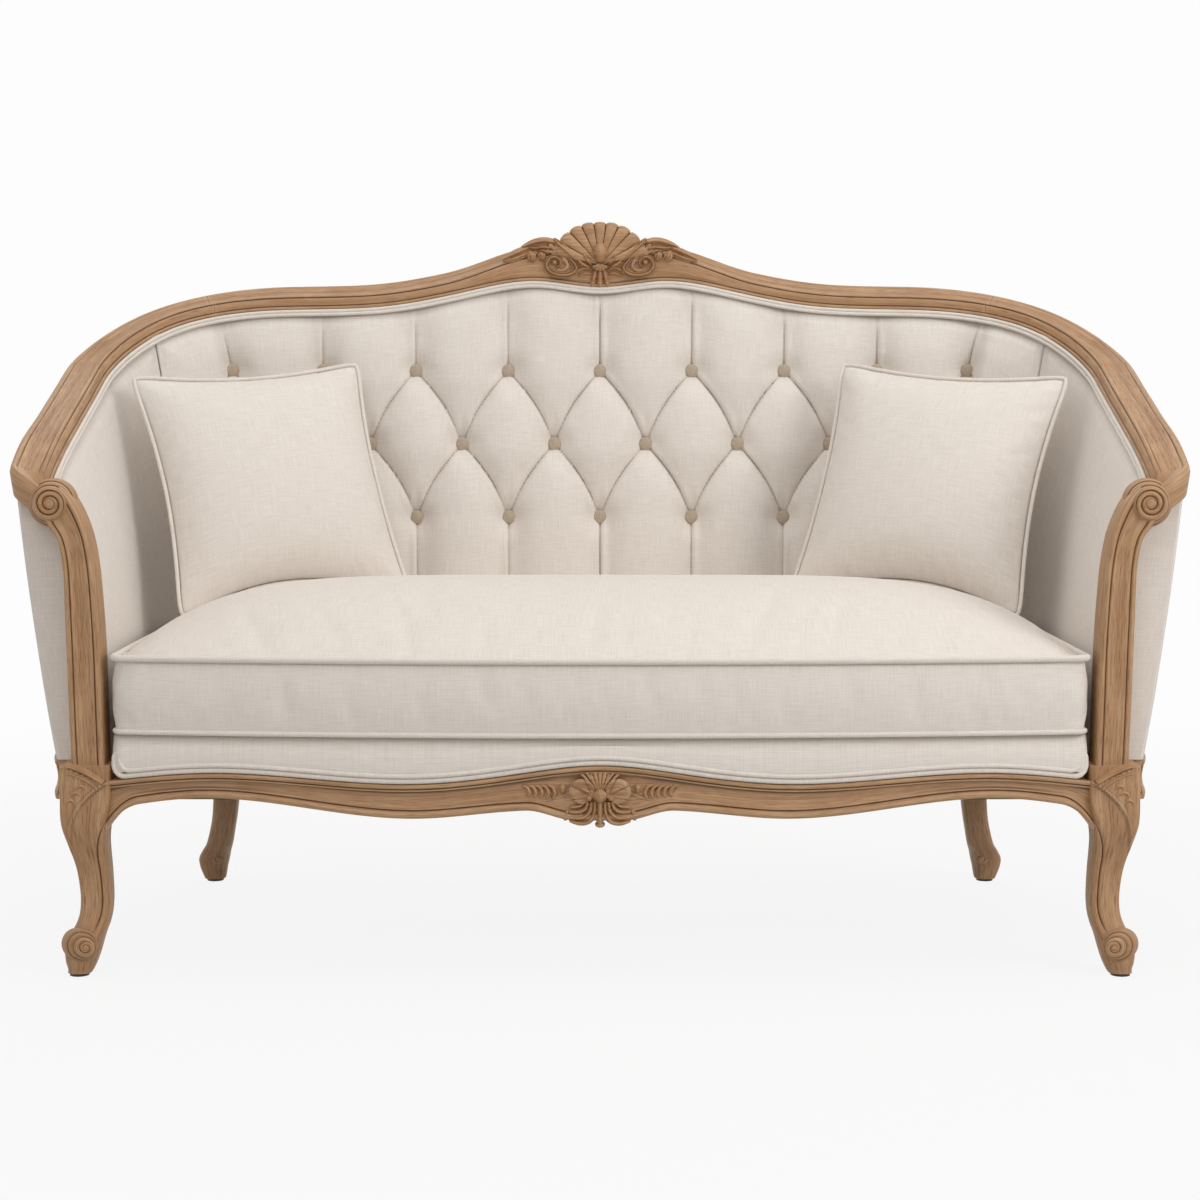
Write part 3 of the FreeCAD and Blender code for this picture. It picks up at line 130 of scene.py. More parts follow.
def ranged(tree, value, low, high, first, last, **settings):
    """Takes low to first and high to last."""
    return add_node(tree, "MapRange", {0: value, 1: low, 2: high, 3: first, 4: last}, **settings)


def mix(tree, share, first, second, blend="MIX"):
    return add_node(tree, "MixRGB", {0: share, 1: first, 2: second}, blend_type=blend)


def noise(tree, at, scale, detail, **more):
    """Noise with a scale for each axis."""
    spread = add_node(tree, "Mapping", {"Vector": at, "Scale": scale})
    return add_node(tree, "TexNoise", {"Vector": spread, "Scale": 1.0, "Detail": detail, **more})


def ramp(tree, value, stops):
    """Colours by value, each stop a place and a hex colour."""
    made = add_node(tree, "ValToRGB", {0: value})
    elements = made.color_ramp.elements
    while len(elements) < len(stops):
        elements.new(1.0)
    for element, (at, colour) in zip(elements, stops):
        element.position = at
        element.color = linear(colour)
    return made


def bumped(tree, surface, height, strength, distance):
    bump = add_node(tree, "Bump", {"Height": height, "Strength": strength, "Distance": distance})
    set_inputs(tree, surface, {"Normal": bump})


AIM = Vector((0, 0, 0.5))


def lamp(name, at, side, energy):
    data = bpy.data.lights.new(name, "AREA")
    data.shape = "DISK"
    data.size = side
    data.energy = energy
    made = bpy.data.objects.new(name, data)
    made.location = at
    made.rotation_euler = (made.location - AIM).to_track_quat("Z", "Y").to_euler()
    scene.collection.objects.link(made)


lamp("key_lamp", (2.5, -1.9, 2.0), 1.4, 33)
lamp("fill_lamp", (-0.6, -3.1, 2.4), 1.6, 14)
lamp("top_lamp", (0.0, -0.5, 3.4), 3.4, 33)
lamp("back_lamp", (-0.5, 3.4, 2.2), 2.6, 24)


def seen_share(tree):
    """1 for rays that show the picture or a reflection, and 0 for those that only light it."""
    rays = add_node(tree, "LightPath").outputs
    seen = math_of(tree, "MAXIMUM", rays["Is Camera Ray"], rays["Is Glossy Ray"])
    return math_of(tree, "MAXIMUM", seen, rays["Is Transmission Ray"])


world = bpy.data.worlds.new("studio")
scene.world = world
world.use_nodes = True
sky = world.node_tree
sky.nodes.clear()
soft = add_node(sky, "Background", {"Color": linear("#fdfaf6"), "Strength": 0.53})
white = add_node(sky, "Background", {"Color": linear("#fdfdfd"), "Strength": 1.0})
mixed = add_node(sky, "MixShader", {0: seen_share(sky), 1: soft, 2: white})
add_node(sky, "OutputWorld", {"Surface": mixed})

floor_paper, paper, sheet_shader, paper_out = new_material("studio_paper")
set_inputs(paper, sheet_shader, {"Base Color": linear("#d2d2d2"), "Roughness": 0.9, "Specular IOR Level": 0.1})
at = add_node(paper, "TexCoord")
away = add_node(paper, "VectorMath", {0: at.outputs["Object"]}, operation="LENGTH")
# The paper keeps a soft shadow near the object and is plain white further off
veil = ranged(paper, away.outputs["Value"], 1.0, 2.6, 0.9, 1.0, interpolation_type="SMOOTHSTEP")
share = math_of(paper, "MULTIPLY", veil, seen_share(paper))
glow = add_node(paper, "Emission", {"Color": linear("#fdfdfd"), "Strength": 1.0})
both = add_node(paper, "MixShader", {0: share, 1: sheet_shader, 2: glow})
set_inputs(paper, paper_out, {"Surface": both})

floor_bm = bmesh.new()
bmesh.ops.create_grid(floor_bm, x_segments=1, y_segments=1, size=30)
floor_mesh = bpy.data.meshes.new("studio_floor")
floor_bm.to_mesh(floor_mesh)
floor_bm.free()
floor_mesh.materials.append(floor_paper)
studio_floor = bpy.data.objects.new("studio_floor", floor_mesh)
scene.collection.objects.link(studio_floor)

# Materials


def washed_oak():
    """Oak, carved and sanded, washed pale and given a brown glaze.
    The eye sees straight pale grain, dark pores, brown lines in every quirk that are glaze deepened with painted
    shade, and pale edges that are wear brightened with a painted highlight."""
    material, tree, surface, _ = new_material("washed_oak")
    uv = add_node(tree, "UVMap", uv_map="UVMap")
    # Grain lines about 4 mm apart that run some 140 mm along the piece
    grain = noise(tree, uv, (7, 250, 1), 5.0, Roughness=0.62)
    # Pores 1.2 mm wide, drawn at twice their real width so that they show
    pore = noise(tree, uv, (45, 850, 1), 2.0)
    # Blotches of wash about 60 mm across
    blotch = noise(tree, uv, (14, 22, 1), 2.0)
    wood = ramp(tree, grain, [(0.28, "#a07955"), (0.48, "#b68e67"), (0.72, "#caa983")])
    pores = ramp(tree, pore, [(0.34, "#b7a48f"), (0.5, "#ffffff")])
    washes = ramp(tree, blotch, [(0.3, "#d9cabb"), (0.7, "#ffffff")])
    washed = mix(tree, 0.7, mix(tree, 0.65, wood, pores, "MULTIPLY"), washes, "MULTIPLY")
    relief = add_node(tree, "Attribute", attribute_name="relief").outputs["Fac"]
    # Painted shade: points in grooves darken towards brown, partly a glaze and partly the shade that falls there
    glaze_and_painted_shade = mix(tree, ranged(tree, relief, 0.02, 0.2, 0.0, 0.9), washed, linear("#5a3f2b"))
    # Painted highlight: points on ridges lighten, partly wear and partly the light that catches the edges
    wear_and_painted_highlight = mix(tree, ranged(tree, relief, -0.06, -0.4, 0.0, 0.45), glaze_and_painted_shade, linear("#cdb08c"))
    dull = ranged(tree, grain, 0.25, 0.75, 0.6, 0.44)
    set_inputs(tree, surface, {"Base Color": wear_and_painted_highlight, "Roughness": dull, "Specular IOR Level": 0.5})
    bumped(tree, surface, math_of(tree, "ADD", grain, pore), 0.22, 0.0006)
    return material


def linen(name, low, middle, high, slub=1.0):
    """Undyed linen, plain woven from slubby yarn: a matt, oatmeal ground with pale and dark threads
    that run both ways, and painted shade in its creases."""
    material, tree, surface, _ = new_material(name)
    uv = add_node(tree, "UVMap", uv_map="UVMap")
    # Threads about 0.9 mm apart, drawn 1.9 mm apart so that the weave shows
    wave = {"Vector": uv, "Scale": 2 * math.pi / (20 * 0.0019), "Detail": 1.0, "Detail Scale": 0.4}
    threads = []
    for way, uneven in (("X", 0.8), ("Y", 0.6)):
        thread = add_node(tree, "TexWave", {**wave, "Distortion": uneven}, bands_direction=way)
        threads.append(thread.outputs["Fac"])
    weave = math_of(tree, "MAXIMUM", *threads)
    # Slubs: thick runs of yarn 30 mm long and 2 mm wide, both ways
    slubs = math_of(tree, "ADD", noise(tree, uv, (560, 30, 1), 3.0), noise(tree, uv, (34, 520, 1), 3.0))
    yarn = math_of(tree, "MULTIPLY_ADD", weave, 0.35, slubs)
    cloth = ramp(tree, ranged(tree, yarn, 0.85, 1.7, 0.0, 1.0), [(0.0, low), (0.5, middle), (1.0, high)])
    relief = add_node(tree, "Attribute", attribute_name="relief").outputs["Fac"]
    # Painted shade: points in creases darken towards brown-grey, where shade falls in the folds
    painted_crease_shade = mix(tree, ranged(tree, relief, 0.1, 0.55, 0.0, 0.55), cloth, linear("#8d7f71"))
    set_inputs(tree, surface, {"Base Color": painted_crease_shade, "Roughness": 0.88, "Specular IOR Level": 0.2})
    set_inputs(tree, surface, {"Sheen Weight": 0.12, "Sheen Roughness": 0.5})
    bumped(tree, surface, yarn, 0.3 * slub, 0.0005)
    return material


def plain(name, dark, light, scale, roughness, bump_height):
    """Unseen or small plain pieces: a sawn or moulded ground with a soft change of tone."""
    material, tree, surface, _ = new_material(name)
    tone = noise(tree, add_node(tree, "TexCoord").outputs["Object"], scale, 4.0)
    colour = ramp(tree, tone, [(0.3, dark), (0.7, light)])
    set_inputs(tree, surface, {"Base Color": colour, "Roughness": roughness})
    bumped(tree, surface, tone, 0.25, bump_height)
    return material


oak = washed_oak()
oatmeal = linen("oatmeal_linen", "#d9d0c7", "#e3dbd3", "#eae4dd")
welt_cloth = linen("welt_linen", "#d5cbc2", "#e1d9d0", "#eae4dc", 0.6)
button_cloth = linen("button_linen", "#9c8c79", "#b6a693", "#c9bcab", 0.6)
# Planed beech with long grain 5 mm apart, unfinished inside the frame
beech = plain("planed_beech", "#b98f63", "#d6b387", (18, 18, 200), 0.6, 0.0004)
# Black glide of moulded polythene with a fine spark texture
polythene = plain("moulded_polythene", "#151413", "#262422", (900, 900, 900), 0.45, 0.0002)
# Jute webbing, coarse brown yarn 3 mm apart
jute = plain("jute_webbing", "#8b6f4c", "#b3966c", (330, 330, 330), 0.9, 0.0008)
# Spun-bonded dust cloth, a dark felt-like sheet
felt = plain("spun_dust_cloth", "#232222", "#343332", (500, 500, 500), 0.95, 0.0003)
# Zip tape, a close cotton tape with a nylon coil
tape = plain("zip_tape", "#c3b8ac", "#d5cbc0", (600, 600, 600), 0.8, 0.0003)

# Curves


def smooth(low, high, value):
    share = np.clip((np.asarray(value, float) - low) / (high - low), 0, 1)
    return share * share * (3 - 2 * share)


def spline(knots):
    """Cubic curve through (position, value) knots, level at the first and free at the last."""
    at, value = np.array(knots, float).T
    step = np.diff(at)
    rise = np.diff(value) / step
    last = len(at) - 1
    left = np.zeros((last + 1, last + 1))
    right = np.zeros(last + 1)
    left[0, :2], right[0] = (2, 1), 6 * rise[0] / step[0]
    left[last, last] = 1
    for i in range(1, last):
        left[i, i - 1 : i + 2] = step[i - 1], 2 * (step[i - 1] + step[i]), step[i]
        right[i] = 6 * (rise[i] - rise[i - 1])
    bend = np.linalg.solve(left, right)

    def curve(x):
        x = np.abs(x)
        i = np.clip(np.searchsorted(at, x, side="right") - 1, 0, last - 1)
        a = (at[i + 1] - x) / step[i]
        b = 1 - a
        sag = ((a**3 - a) * bend[i] + (b**3 - b) * bend[i + 1]) * step[i] ** 2 / 6
        return a * value[i] + b * value[i + 1] + sag

    return curve


def through(points, share):
    """Smooth line through points, at shares 0 to 1 of the way."""
    points = np.asarray(points, float)
    points = points.reshape(len(points), -1)
    last = len(points) - 1
    at = np.clip(np.asarray(share, float) * last, 0, last - 1e-9)
    i = at.astype(int)
    t = (at - i)[:, None]
    before, near = points[np.maximum(i - 1, 0)], points[i]
    far, after = points[i + 1], points[np.minimum(i + 2, last)]
    bend = 2 * before - 5 * near + 4 * far - after + t * (3 * (near - far) + after - before)
    return near + 0.5 * t * (far - before + t * bend)


def round_profile(profile, v):
    """Columns of a closed profile, v from 0 to 1 round it."""
    loop = np.array(profile + profile[:1], float)
    at = np.asarray(v) * len(profile)
    return [np.interp(at, np.arange(len(loop)), column) for column in loop.T]


def plan(s):
    """Point of the plan line and its outward direction."""
    s = np.asarray(s, float)
    side = np.where(s < 0, -1.0, 1.0)
    s = np.abs(s)
    back = s <= BACK_LENGTH
    turn = np.minimum(BACK_ANGLE + (s - BACK_LENGTH) / CORNER_RADIUS, math.pi / 2)
    turn = np.where(back, s / BACK_RADIUS, turn)
    out_x, out_y = np.sin(turn), np.cos(turn)
    x = np.where(back, BACK_RADIUS * out_x, CORNER_X + CORNER_RADIUS * out_x)
    y = np.where(back, BACK_LINE - BACK_RADIUS + BACK_RADIUS * out_y, CORNER_Y + CORNER_RADIUS * out_y)
    y = y - np.maximum(0, s - BACK_LENGTH - CORNER_LENGTH)
    return side * x, y, side * out_x, out_y


def stacked(*parts):
    return np.stack(np.broadcast_arrays(*parts), axis=-1)


def place(s, depth, height):
    x, y, out_x, out_y = plan(s)
    return stacked(x - out_x * depth, y - out_y * depth, height)


fall = SHOULDER - ARM_END
rail_edge = spline(
    [(at * RAIL_END, SHOULDER + rise) for at, rise in ((0, 38), (0.081, 47.5), (0.162, 33), (0.267, 8.5), (0.42, 0))]
    + [
        (at * RAIL_END, SHOULDER - share * fall)
        for at, share in ((0.567, 0.126), (0.68, 0.343), (0.81, 0.587), (0.94, 0.843), (1, 1))
    ]
)


# How far the rail's section rolls outward round the corner, and back towards its end, in degrees
ROLL_OUT, ROLL_BACK = 22, 12


def rail_roll(s):
    share = np.abs(s) / RAIL_END
    return np.radians(ROLL_OUT * smooth(0.4, 0.7, share) - ROLL_BACK * smooth(0.86, 1, share))


def rail_inner(s):
    return RAIL_DEPTH / 2 + 0.6 * RAIL_HEIGHT * np.sin(rail_roll(s))


def rail_stretch(s):
    s = np.abs(s)
    return np.hypot(1, (rail_edge(s + 0.5) - rail_edge(s)) / 0.5)


def rail_place(s, across, up):
    roll = rail_roll(s)
    depth = rail_inner(s) + across * np.cos(roll) - up * np.sin(roll)
    rise = (up * np.cos(roll) + across * np.sin(roll)) * rail_stretch(s)
    return place(s, depth, rail_edge(s) + rise)


# Inset of the seat rails: all round, more at the back and more beside the posts
SEAT_SET, BACK_SET, POST_SET = 5, 41, 24


def tuck(s):
    """Rises from 0 to 1 over the last 150 mm before the post."""
    return (1 - np.minimum(1, (RAIL_END - np.abs(s)) / 150)) ** 2


def seat_inset(s):
    facing = np.maximum(0, plan(s)[3]) ** 2
    return SEAT_SET + facing * BACK_SET + POST_SET * tuck(s)


front_top = spline(
    [(at * RAIL_HALF, SEAT_TOP + rise) for at, rise in ((0, 6), (0.163, -5), (0.366, -19), (0.8, -8), (1, -20))]
)
front_foot = spline(
    [(at * RAIL_HALF, SEAT_TOP - drop) for at, drop in ((0, 53), (0.163, 53), (0.366, 64), (0.82, 41), (1, 57))]
)

FLOWER_DIP, LEG_DIP = 12.5, 27
# How far the front rail stands before the posts, and its bow in plan
FRONT_SET, FRONT_BOW = 28, 40


def front_dip(x):
    """How far the front rail's lower edge runs down to the carved flower and along the legs."""
    from_leg = np.clip(1 - (RAIL_HALF + 7 - np.abs(x)) / 46, 0, 1)
    return FLOWER_DIP * (1 - smooth(34, 96, np.abs(x))) + LEG_DIP * from_leg**2.2


def front_face(x):
    return POST_LINE - FRONT_SET - FRONT_BOW * (1 - (np.asarray(x) / RAIL_HALF) ** 2)


# Making pieces


def skin(columns, rows, shape, lids=False):
    """Grid bent into shape: shape gives places in millimetres for u along and v across, both 0 to 1.
    Edges that come to lie on each other are joined, and lids close what stays open."""
    bm = bmesh.new()
    uv = bm.loops.layers.uv.new("UVMap")
    bmesh.ops.create_grid(bm, x_segments=columns, y_segments=rows, size=0.5)
    flat = np.array([v.co[:2] for v in bm.verts]) + 0.5
    lengths = []
    for axis, count in ((0, columns), (1, rows)):
        walk = np.full((count + 1, 2), 0.5)
        walk[:, axis] = np.linspace(0, 1, count + 1)
        run = shape(walk[:, 0], walk[:, 1]) * MM
        gone = np.concatenate([[0], np.cumsum(np.linalg.norm(np.diff(run, axis=0), axis=1))])
        lengths.append(np.interp(flat[:, axis], walk[:, axis], gone))
    places = shape(flat[:, 0], flat[:, 1]) * MM
    bm.verts.index_update()
    for face in bm.faces:
        for loop in face.loops:
            i = loop.vert.index
            loop[uv].uv = (lengths[0][i], lengths[1][i])
    for vert, at in zip(bm.verts, places):
        vert.co = at
    bmesh.ops.remove_doubles(bm, verts=bm.verts, dist=1e-6)
    if lids:
        bmesh.ops.holes_fill(bm, edges=[e for e in bm.edges if e.is_boundary], sides=0)
    return bm


def gather(parts):
    """One mesh of several."""
    whole = bmesh.new()
    for part in parts:
        held = bpy.data.meshes.new("part")
        part.to_mesh(held)
        part.free()
        whole.from_mesh(held)
        bpy.data.meshes.remove(held)
    return whole


def sided(bm, side):
    """The mesh of a right-hand piece, mirrored for the left."""
    if side < 0:
        bmesh.ops.scale(bm, vec=(-1, 1, 1), verts=bm.verts)
        bmesh.ops.reverse_faces(bm, faces=bm.faces)
    return bm


def box_uv(bm):
    """UV in metres from the side that each face looks to."""
    uv = bm.loops.layers.uv.verify()
    bm.normal_update()
    for face in bm.faces:
        looks = [abs(c) for c in face.normal]
        drop = looks.index(max(looks))
        axes = [a for a in (0, 1, 2) if a != drop]
        for loop in face.loops:
            loop[uv].uv = (loop.vert.co[axes[0]], loop.vert.co[axes[1]])


def points_of(mesh, what="co"):
    flat = np.empty(len(mesh.vertices) * 3)
    mesh.vertices.foreach_get(what, flat)
    return flat.reshape(-1, 3)


def mark_relief(mesh):
    """Stores how far each point lies in a groove (above zero) or on a ridge (below zero)."""
    count = len(mesh.vertices)
    co, normal = points_of(mesh), points_of(mesh, "normal")
    ends = np.empty(len(mesh.edges) * 2, int)
    mesh.edges.foreach_get("vertices", ends)
    a, b = ends.reshape(-1, 2).T
    run = co[b] - co[a]
    run /= np.maximum(np.linalg.norm(run, axis=1), 1e-9)[:, None]
    total = np.bincount(a, (run * normal[a]).sum(1), count) - np.bincount(b, (run * normal[b]).sum(1), count)
    relief = total / np.maximum(np.bincount(ends, minlength=count), 1)
    mesh.attributes.new("relief", "FLOAT", "POINT").data.foreach_set("value", relief)


def piece(name, bm, material, stands_for=(), body="frame", sharp=38):
    """Makes a piece of a mesh: smooth up to the sharp angle in degrees, with its relief, material and body,
    and the nodes that it stands for."""
    bmesh.ops.recalc_face_normals(bm, faces=bm.faces)
    for face in bm.faces:
        face.smooth = True
    for edge in bm.edges:
        edge.smooth = edge.calc_face_angle(0) < math.radians(sharp)
    mesh = bpy.data.meshes.new(name)
    bm.to_mesh(mesh)
    bm.free()
    mark_relief(mesh)
    mesh.materials.append(material)
    made = bpy.data.objects.new(name, mesh)
    scene.collection.objects.link(made)
    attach(made, body)
    if stands_for:
        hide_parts(*stands_for)
    return made


def upholstered(name, bm, node, sharp=38):
    """Fixed linen cover with its filling."""
    piece(name, bm, oatmeal, [node], sharp=sharp)


def rounded(made):
    """Subdivision that rounds a soft piece."""
    finer = made.modifiers.new("rounding", "SUBSURF")
    finer.levels = finer.render_levels = 1


CORD_SIDES = 10


def cord(points, radius, up=(0, 0, 1), closed=False):
    """Round cord along points."""
    points = np.asarray(points, float)
    if closed:
        points = np.concatenate([points, points[:1]])
    count = len(points) - 1
    ahead = np.gradient(points, axis=0)
    if closed:
        ahead[0] = ahead[-1] = points[1] - points[-2]
    ahead /= np.linalg.norm(ahead, axis=1)[:, None]
    side = np.cross(ahead, np.array(up, float))
    side /= np.linalg.norm(side, axis=1)[:, None]
    over = np.cross(side, ahead)

    def shape(u, v):
        i = np.rint(u * count).astype(int)
        turn = 2 * math.pi * v
        ring = side[i] * np.cos(turn)[:, None] + over[i] * np.sin(turn)[:, None]
        return points[i] + ring * radius

    return skin(count, CORD_SIDES, shape, lids=not closed)


# Top rail: fascia with a bead below, a quirked bead, a hollow and an outer bead

RAIL_PROFILE = [
    (0.0, 0, 0), (1.3, 0.8, 0), (1.8, 2.4, 0), (1.2, 4.0, 0), (-0.6, 4.8, 0), (-0.9, 5.8, 0), (0.1, 6.6, 0.05),
    (0.5, 9, 0.3), (0.6, 12, 0.6), (0.3, 15, 0.9), (-0.3, 16.6, 1), (-1.9, 17.4, 1), (-2.0, 18.4, 1),
    (-0.7, 19.2, 1), (-0.8, 20.6, 1), (-2.0, 21.9, 1), (-3.8, 22.4, 1), (-5.6, 21.8, 1), (-6.6, 20.2, 1),
    (-7.8, 19.6, 1), (-9.5, 20.6, 1), (-13, 21.6, 1), (-18, 23.0, 1), (-23, 25.0, 1), (-28, 28.0, 1),
    (-32, 32.0, 1), (-33.6, 33.2, 1), (-34.8, 31.8, 1), (-35.6, 32.4, 1), (-36.0, 34.6, 1), (-38, 36.5, 1),
    (-41, 37.0, 1), (-44, 35.4, 1), (-45.7, 32.4, 1), (-46, 29, 0.9), (-46, 16, 0.5), (-46, 2, 0), (-44, 0, 0),
    (-23, 0, 0),
]


def crest_extra(s):
    return 28 * (1 - smooth(0.02, 0.2, np.abs(s) / RAIL_END))


def softened(profile, times):
    points = np.array(profile, dtype=float)
    for _ in range(times):
        points = (np.roll(points, 1, 0) + 2 * points + np.roll(points, -1, 0)) / 4
    return points.tolist()


def top_rail(low, high, columns, nose=0.0):
    """Rail between two places on the plan line; a nose is the share that turns in to the arm's
    scroll, where the quirks run out."""

    def shape(u, v):
        s = low + (high - low) * np.minimum(u / (1 - nose), 1)
        across, up, lift = round_profile(RAIL_PROFILE, v)
        if nose:
            share = np.clip((u - 1 + nose) / nose, 0, 1)
            plain_across, plain_up, _ = round_profile(softened(RAIL_PROFILE, 6), v)
            fade = smooth(1 - 1.6 * nose, 1 - 0.5 * nose, u) * smooth(0.85, 1, lift)
            across, up = across + (plain_across - across) * fade, up + (plain_up - up) * fade
        at = rail_place(s, across, up + lift * crest_extra(s))
        if nose:
            hinge = HALF_WIDTH - rail_inner(RAIL_END)
            side = np.sign(high)
            reach = np.where(share > 0, side * at[:, 0] - hinge, 0) * (1 - 0.3 * share)
            turn = 1.48 * share
            at[:, 0] = np.where(share > 0, side * (hinge + reach * np.cos(turn)), at[:, 0])
            at[:, 1] -= reach * np.sin(turn)
            at[:, 2] -= 27 * share**1.3
        return at

    return skin(columns, len(RAIL_PROFILE), shape, lids=True)


JOINT_GAP = 0.35
piece("crest_rail_wood", top_rail(JOINT_GAP - REAR_STATION, REAR_STATION - JOINT_GAP, 220), oak, ["crest_rail"])
for side, name in SIDES:
    arm = top_rail(side * (REAR_STATION + JOINT_GAP), side * RAIL_END, 140, nose=0.16)
    piece(f"arm_rail_wood_{name}", arm, oak, [f"arm_rail_{name}"])

# Seat rails: bead, cove and bead on the outer face

SEAT_PROFILE = [
    (2, 0.2), (0.6, 1.2), (0, 4), (0.6, 6.6), (2.2, 7.8), (3.4, 8.4), (2.6, 9.4), (2.8, 12), (4.4, 20), (5.0, 27),
    (4.4, 34), (2.8, 42), (2.6, 44.6), (3.6, 45.6), (2.2, 46.4), (0.8, 48), (0.5, 50.4), (1.2, 52.8), (2.6, 54),
    (32, 54), (32, 0),
]


def seat_rail(low, high, columns):
    def shape(u, v):
        s = low + (high - low) * u
        inward, up = round_profile(SEAT_PROFILE, v)
        return place(s, seat_inset(s) + inward, SEAT_BOTTOM + up)

    return skin(columns, len(SEAT_PROFILE), shape, lids=True)


# Half of the rear leg's block along the rail, and its gap
REAR_HALF = 26.2
side_low = REAR_STATION + REAR_HALF
side_high = BACK_LENGTH + CORNER_LENGTH + CORNER_Y - (POST_LINE + LEG_BLOCK / 2)
piece("back_rail_wood", seat_rail(REAR_HALF - REAR_STATION, REAR_STATION - REAR_HALF, 140), oak, ["back_rail"])
for side, name in SIDES:
    piece(f"side_rail_wood_{name}", seat_rail(side * side_low, side * side_high, 90), oak, [f"side_rail_{name}"])

# Front rail: bead along the lower edge, a long cove, and a quirked bead under the welt

FRONT_PROFILE = [
    (36, 0, 0), (6, 0, 0), (3.2, 0.4, 0), (1.2, 1.8, 0), (0.2, 4.2, 0), (0.5, 6.6, 0), (2.0, 8.6, 0), (4.2, 9.6, 0),
    (6.2, 9.8, 0), (6.6, 10.8, 0), (4.8, 11.8, 0), (4.7, 13.2, 0), (5.8, 3, 0.32), (6.9, 2, 0.45), (7.3, 0, 0.6),
    (6.8, -2, 0.75), (5.6, -4, 0.9), (4.2, -9.4, 1), (3.6, -7.8, 1), (5.2, -7.0, 1), (5.0, -6.2, 1),
    (2.8, -5.6, 1), (1.9, -4.2, 1), (1.8, -2.4, 1), (2.6, -0.8, 1), (4.4, 0, 1), (36, 0, 1),
]


def front_rail_shape(u, v):
    x = (RAIL_HALF + 7) * (2 * u - 1)
    inward, up, share = round_profile(FRONT_PROFILE, v)
    foot = front_foot(x) - front_dip(x)
    return stacked(x, front_face(x) + inward, foot + up + share * (front_top(x) - foot))


piece("front_rail_wood", skin(240, len(FRONT_PROFILE), front_rail_shape, lids=True), oak, ["front_rail"])

# Legs: rounded squares, each level a height, a lean, a width and a rounding

FRONT_LEVELS = [
    (4, 0.94, 31, 12), (9, 0.84, 34, 13), (18, 0.78, 40.5, 15), (28, 0.7, 45.5, 18), (38, 0.62, 49, 19),
    (47, 0.46, 49, 19), (56, 0.18, 46, 18), (66, -0.14, 43.5, 16), (80, -0.4, 42, 15),
    (98, -0.5, 41.5, 13), (118, -0.46, 42, 12), (140, -0.33, 44, 12), (160, -0.12, 47.5, 12),
    (180, 0.1, 52.5, 12), (200, 0.2, 59, 11), (216, 0.12, 63.5, 10),
    (230, 0.02, 65.8, 9), (244, 0, 66, 8), (262, 0, 66, 8), (280, 0, 66, 8),
]
REAR_LEVELS = [
    (4, 1.0, 32, 13), (8, 1.01, 35, 14), (22, 1.08, 43, 17), (36, 1.04, 47.5, 19), (50, 0.85, 44, 17),
    (64, 0.62, 40.5, 15), (90, 0.38, 38, 13), (112, 0.22, 38, 13), (140, 0.1, 39, 12), (172, 0.03, 40, 11),
    (200, 0, 40, 9), (226, 0, 40, 9),
]


# How far a quarter round falls short of its square corner along the diagonal
CORNER_LOSS = 0.2929
# How far the front leg moves out and forward at a lean of 1
LEG_LEAN = 14


def corner_power(rounding, half):
    return -math.log(2) / np.log(1 - CORNER_LOSS * np.clip(rounding / half, 0.05, 0.98))


def square_turn(v, half, rounding):
    """Point of a rounded square about its middle, v from 0 to 1 round it."""
    power = corner_power(rounding, half)
    at = np.asarray(v) * 4
    way = np.minimum(at.astype(int), 3)
    run = 2 * (at - way) - 1
    reach = (1 + np.abs(run) ** power) ** (-1 / power)
    turn = way * math.pi / 2
    x = (np.cos(turn) - np.sin(turn) * run) * reach
    y = (np.sin(turn) + np.cos(turn) * run) * reach
    return x * half, y * half


# Edge of the knee's raised leaf: height, and how far across the front, from -1 outside to 1 inside
KNEE_LINE = [
    (150, -1.08), (162, -0.96), (176, -0.8), (192, -0.62), (207, -0.47), (218, -0.34), (230, -0.14), (240, 0.13),
    (250, 0.48), (258, 0.84), (264, 1.15),
]


def front_leg_shape(u, v):
    height, lean, width, rounding = through(FRONT_LEVELS, u).T
    x, y, half = LEG_X + LEG_LEAN * lean, POST_LINE - LEG_LEAN * lean, width / 2
    dx, dy = square_turn(v, half, rounding)
    # A quirk along the inner edge of the front carries on the front rail's bead, and the knee's
    # outer half is raised as a long leaf with a rolled edge
    facing = smooth(0.25, 0.8, -dy / half)
    run = -dx / half
    edge = 0.36 + 0.13 * smooth(50, 95, height) + 0.75 * smooth(150, 250, height)
    quirk = 2.8 * np.exp(-(((run - edge) / 0.055) ** 2)) * smooth(52, 74, height)
    roll = np.interp(height, *np.array(KNEE_LINE).T)
    leaf_up = 2.0 * (1 - smooth(-0.05, 0.05, run - roll)) * smooth(158, 190, height)
    lip = 2.6 * np.exp(-(((run - roll) / 0.075) ** 2)) * smooth(154, 176, height)
    cove = 1.8 * np.exp(-(((run - 0.5 * (roll + edge)) / 0.3) ** 2)) * smooth(70, 110, height)
    # Above the lip under the post the face lies back, flush with the post
    lip_line = 258 + np.clip((0.76 - run) / 1.55, 0, 1) * 22.5
    back = 7.5 * smooth(-0.5, 2.5, height - lip_line)
    return stacked(x + dx, y + dy + facing * (quirk + cove - leaf_up - lip + back), height)


def rear_leg_shape(u, v):
    height, splay, width, rounding = through(REAR_LEVELS, u).T
    dx, dy = square_turn(v, width / 2, rounding)
    top = place(np.array([REAR_STATION]), seat_inset(np.array([REAR_STATION])) + SEAT_THICK / 2 + 4, 0)[0]
    return stacked(top[0] + 30 * splay + dx, top[1] + 54 * splay + dy, height)


def rear_block_shape(u, v):
    s = REAR_STATION + 26 * (2 * u - 1)
    inward, up = round_profile(
        [(3.4, 0), (2, 1.4), (2, 52.6), (3.4, 54), (34.6, 54), (36, 52.6), (36, 1.4), (34.6, 0)], v
    )
    return place(s, seat_inset(s) + inward, SEAT_BOTTOM + up)


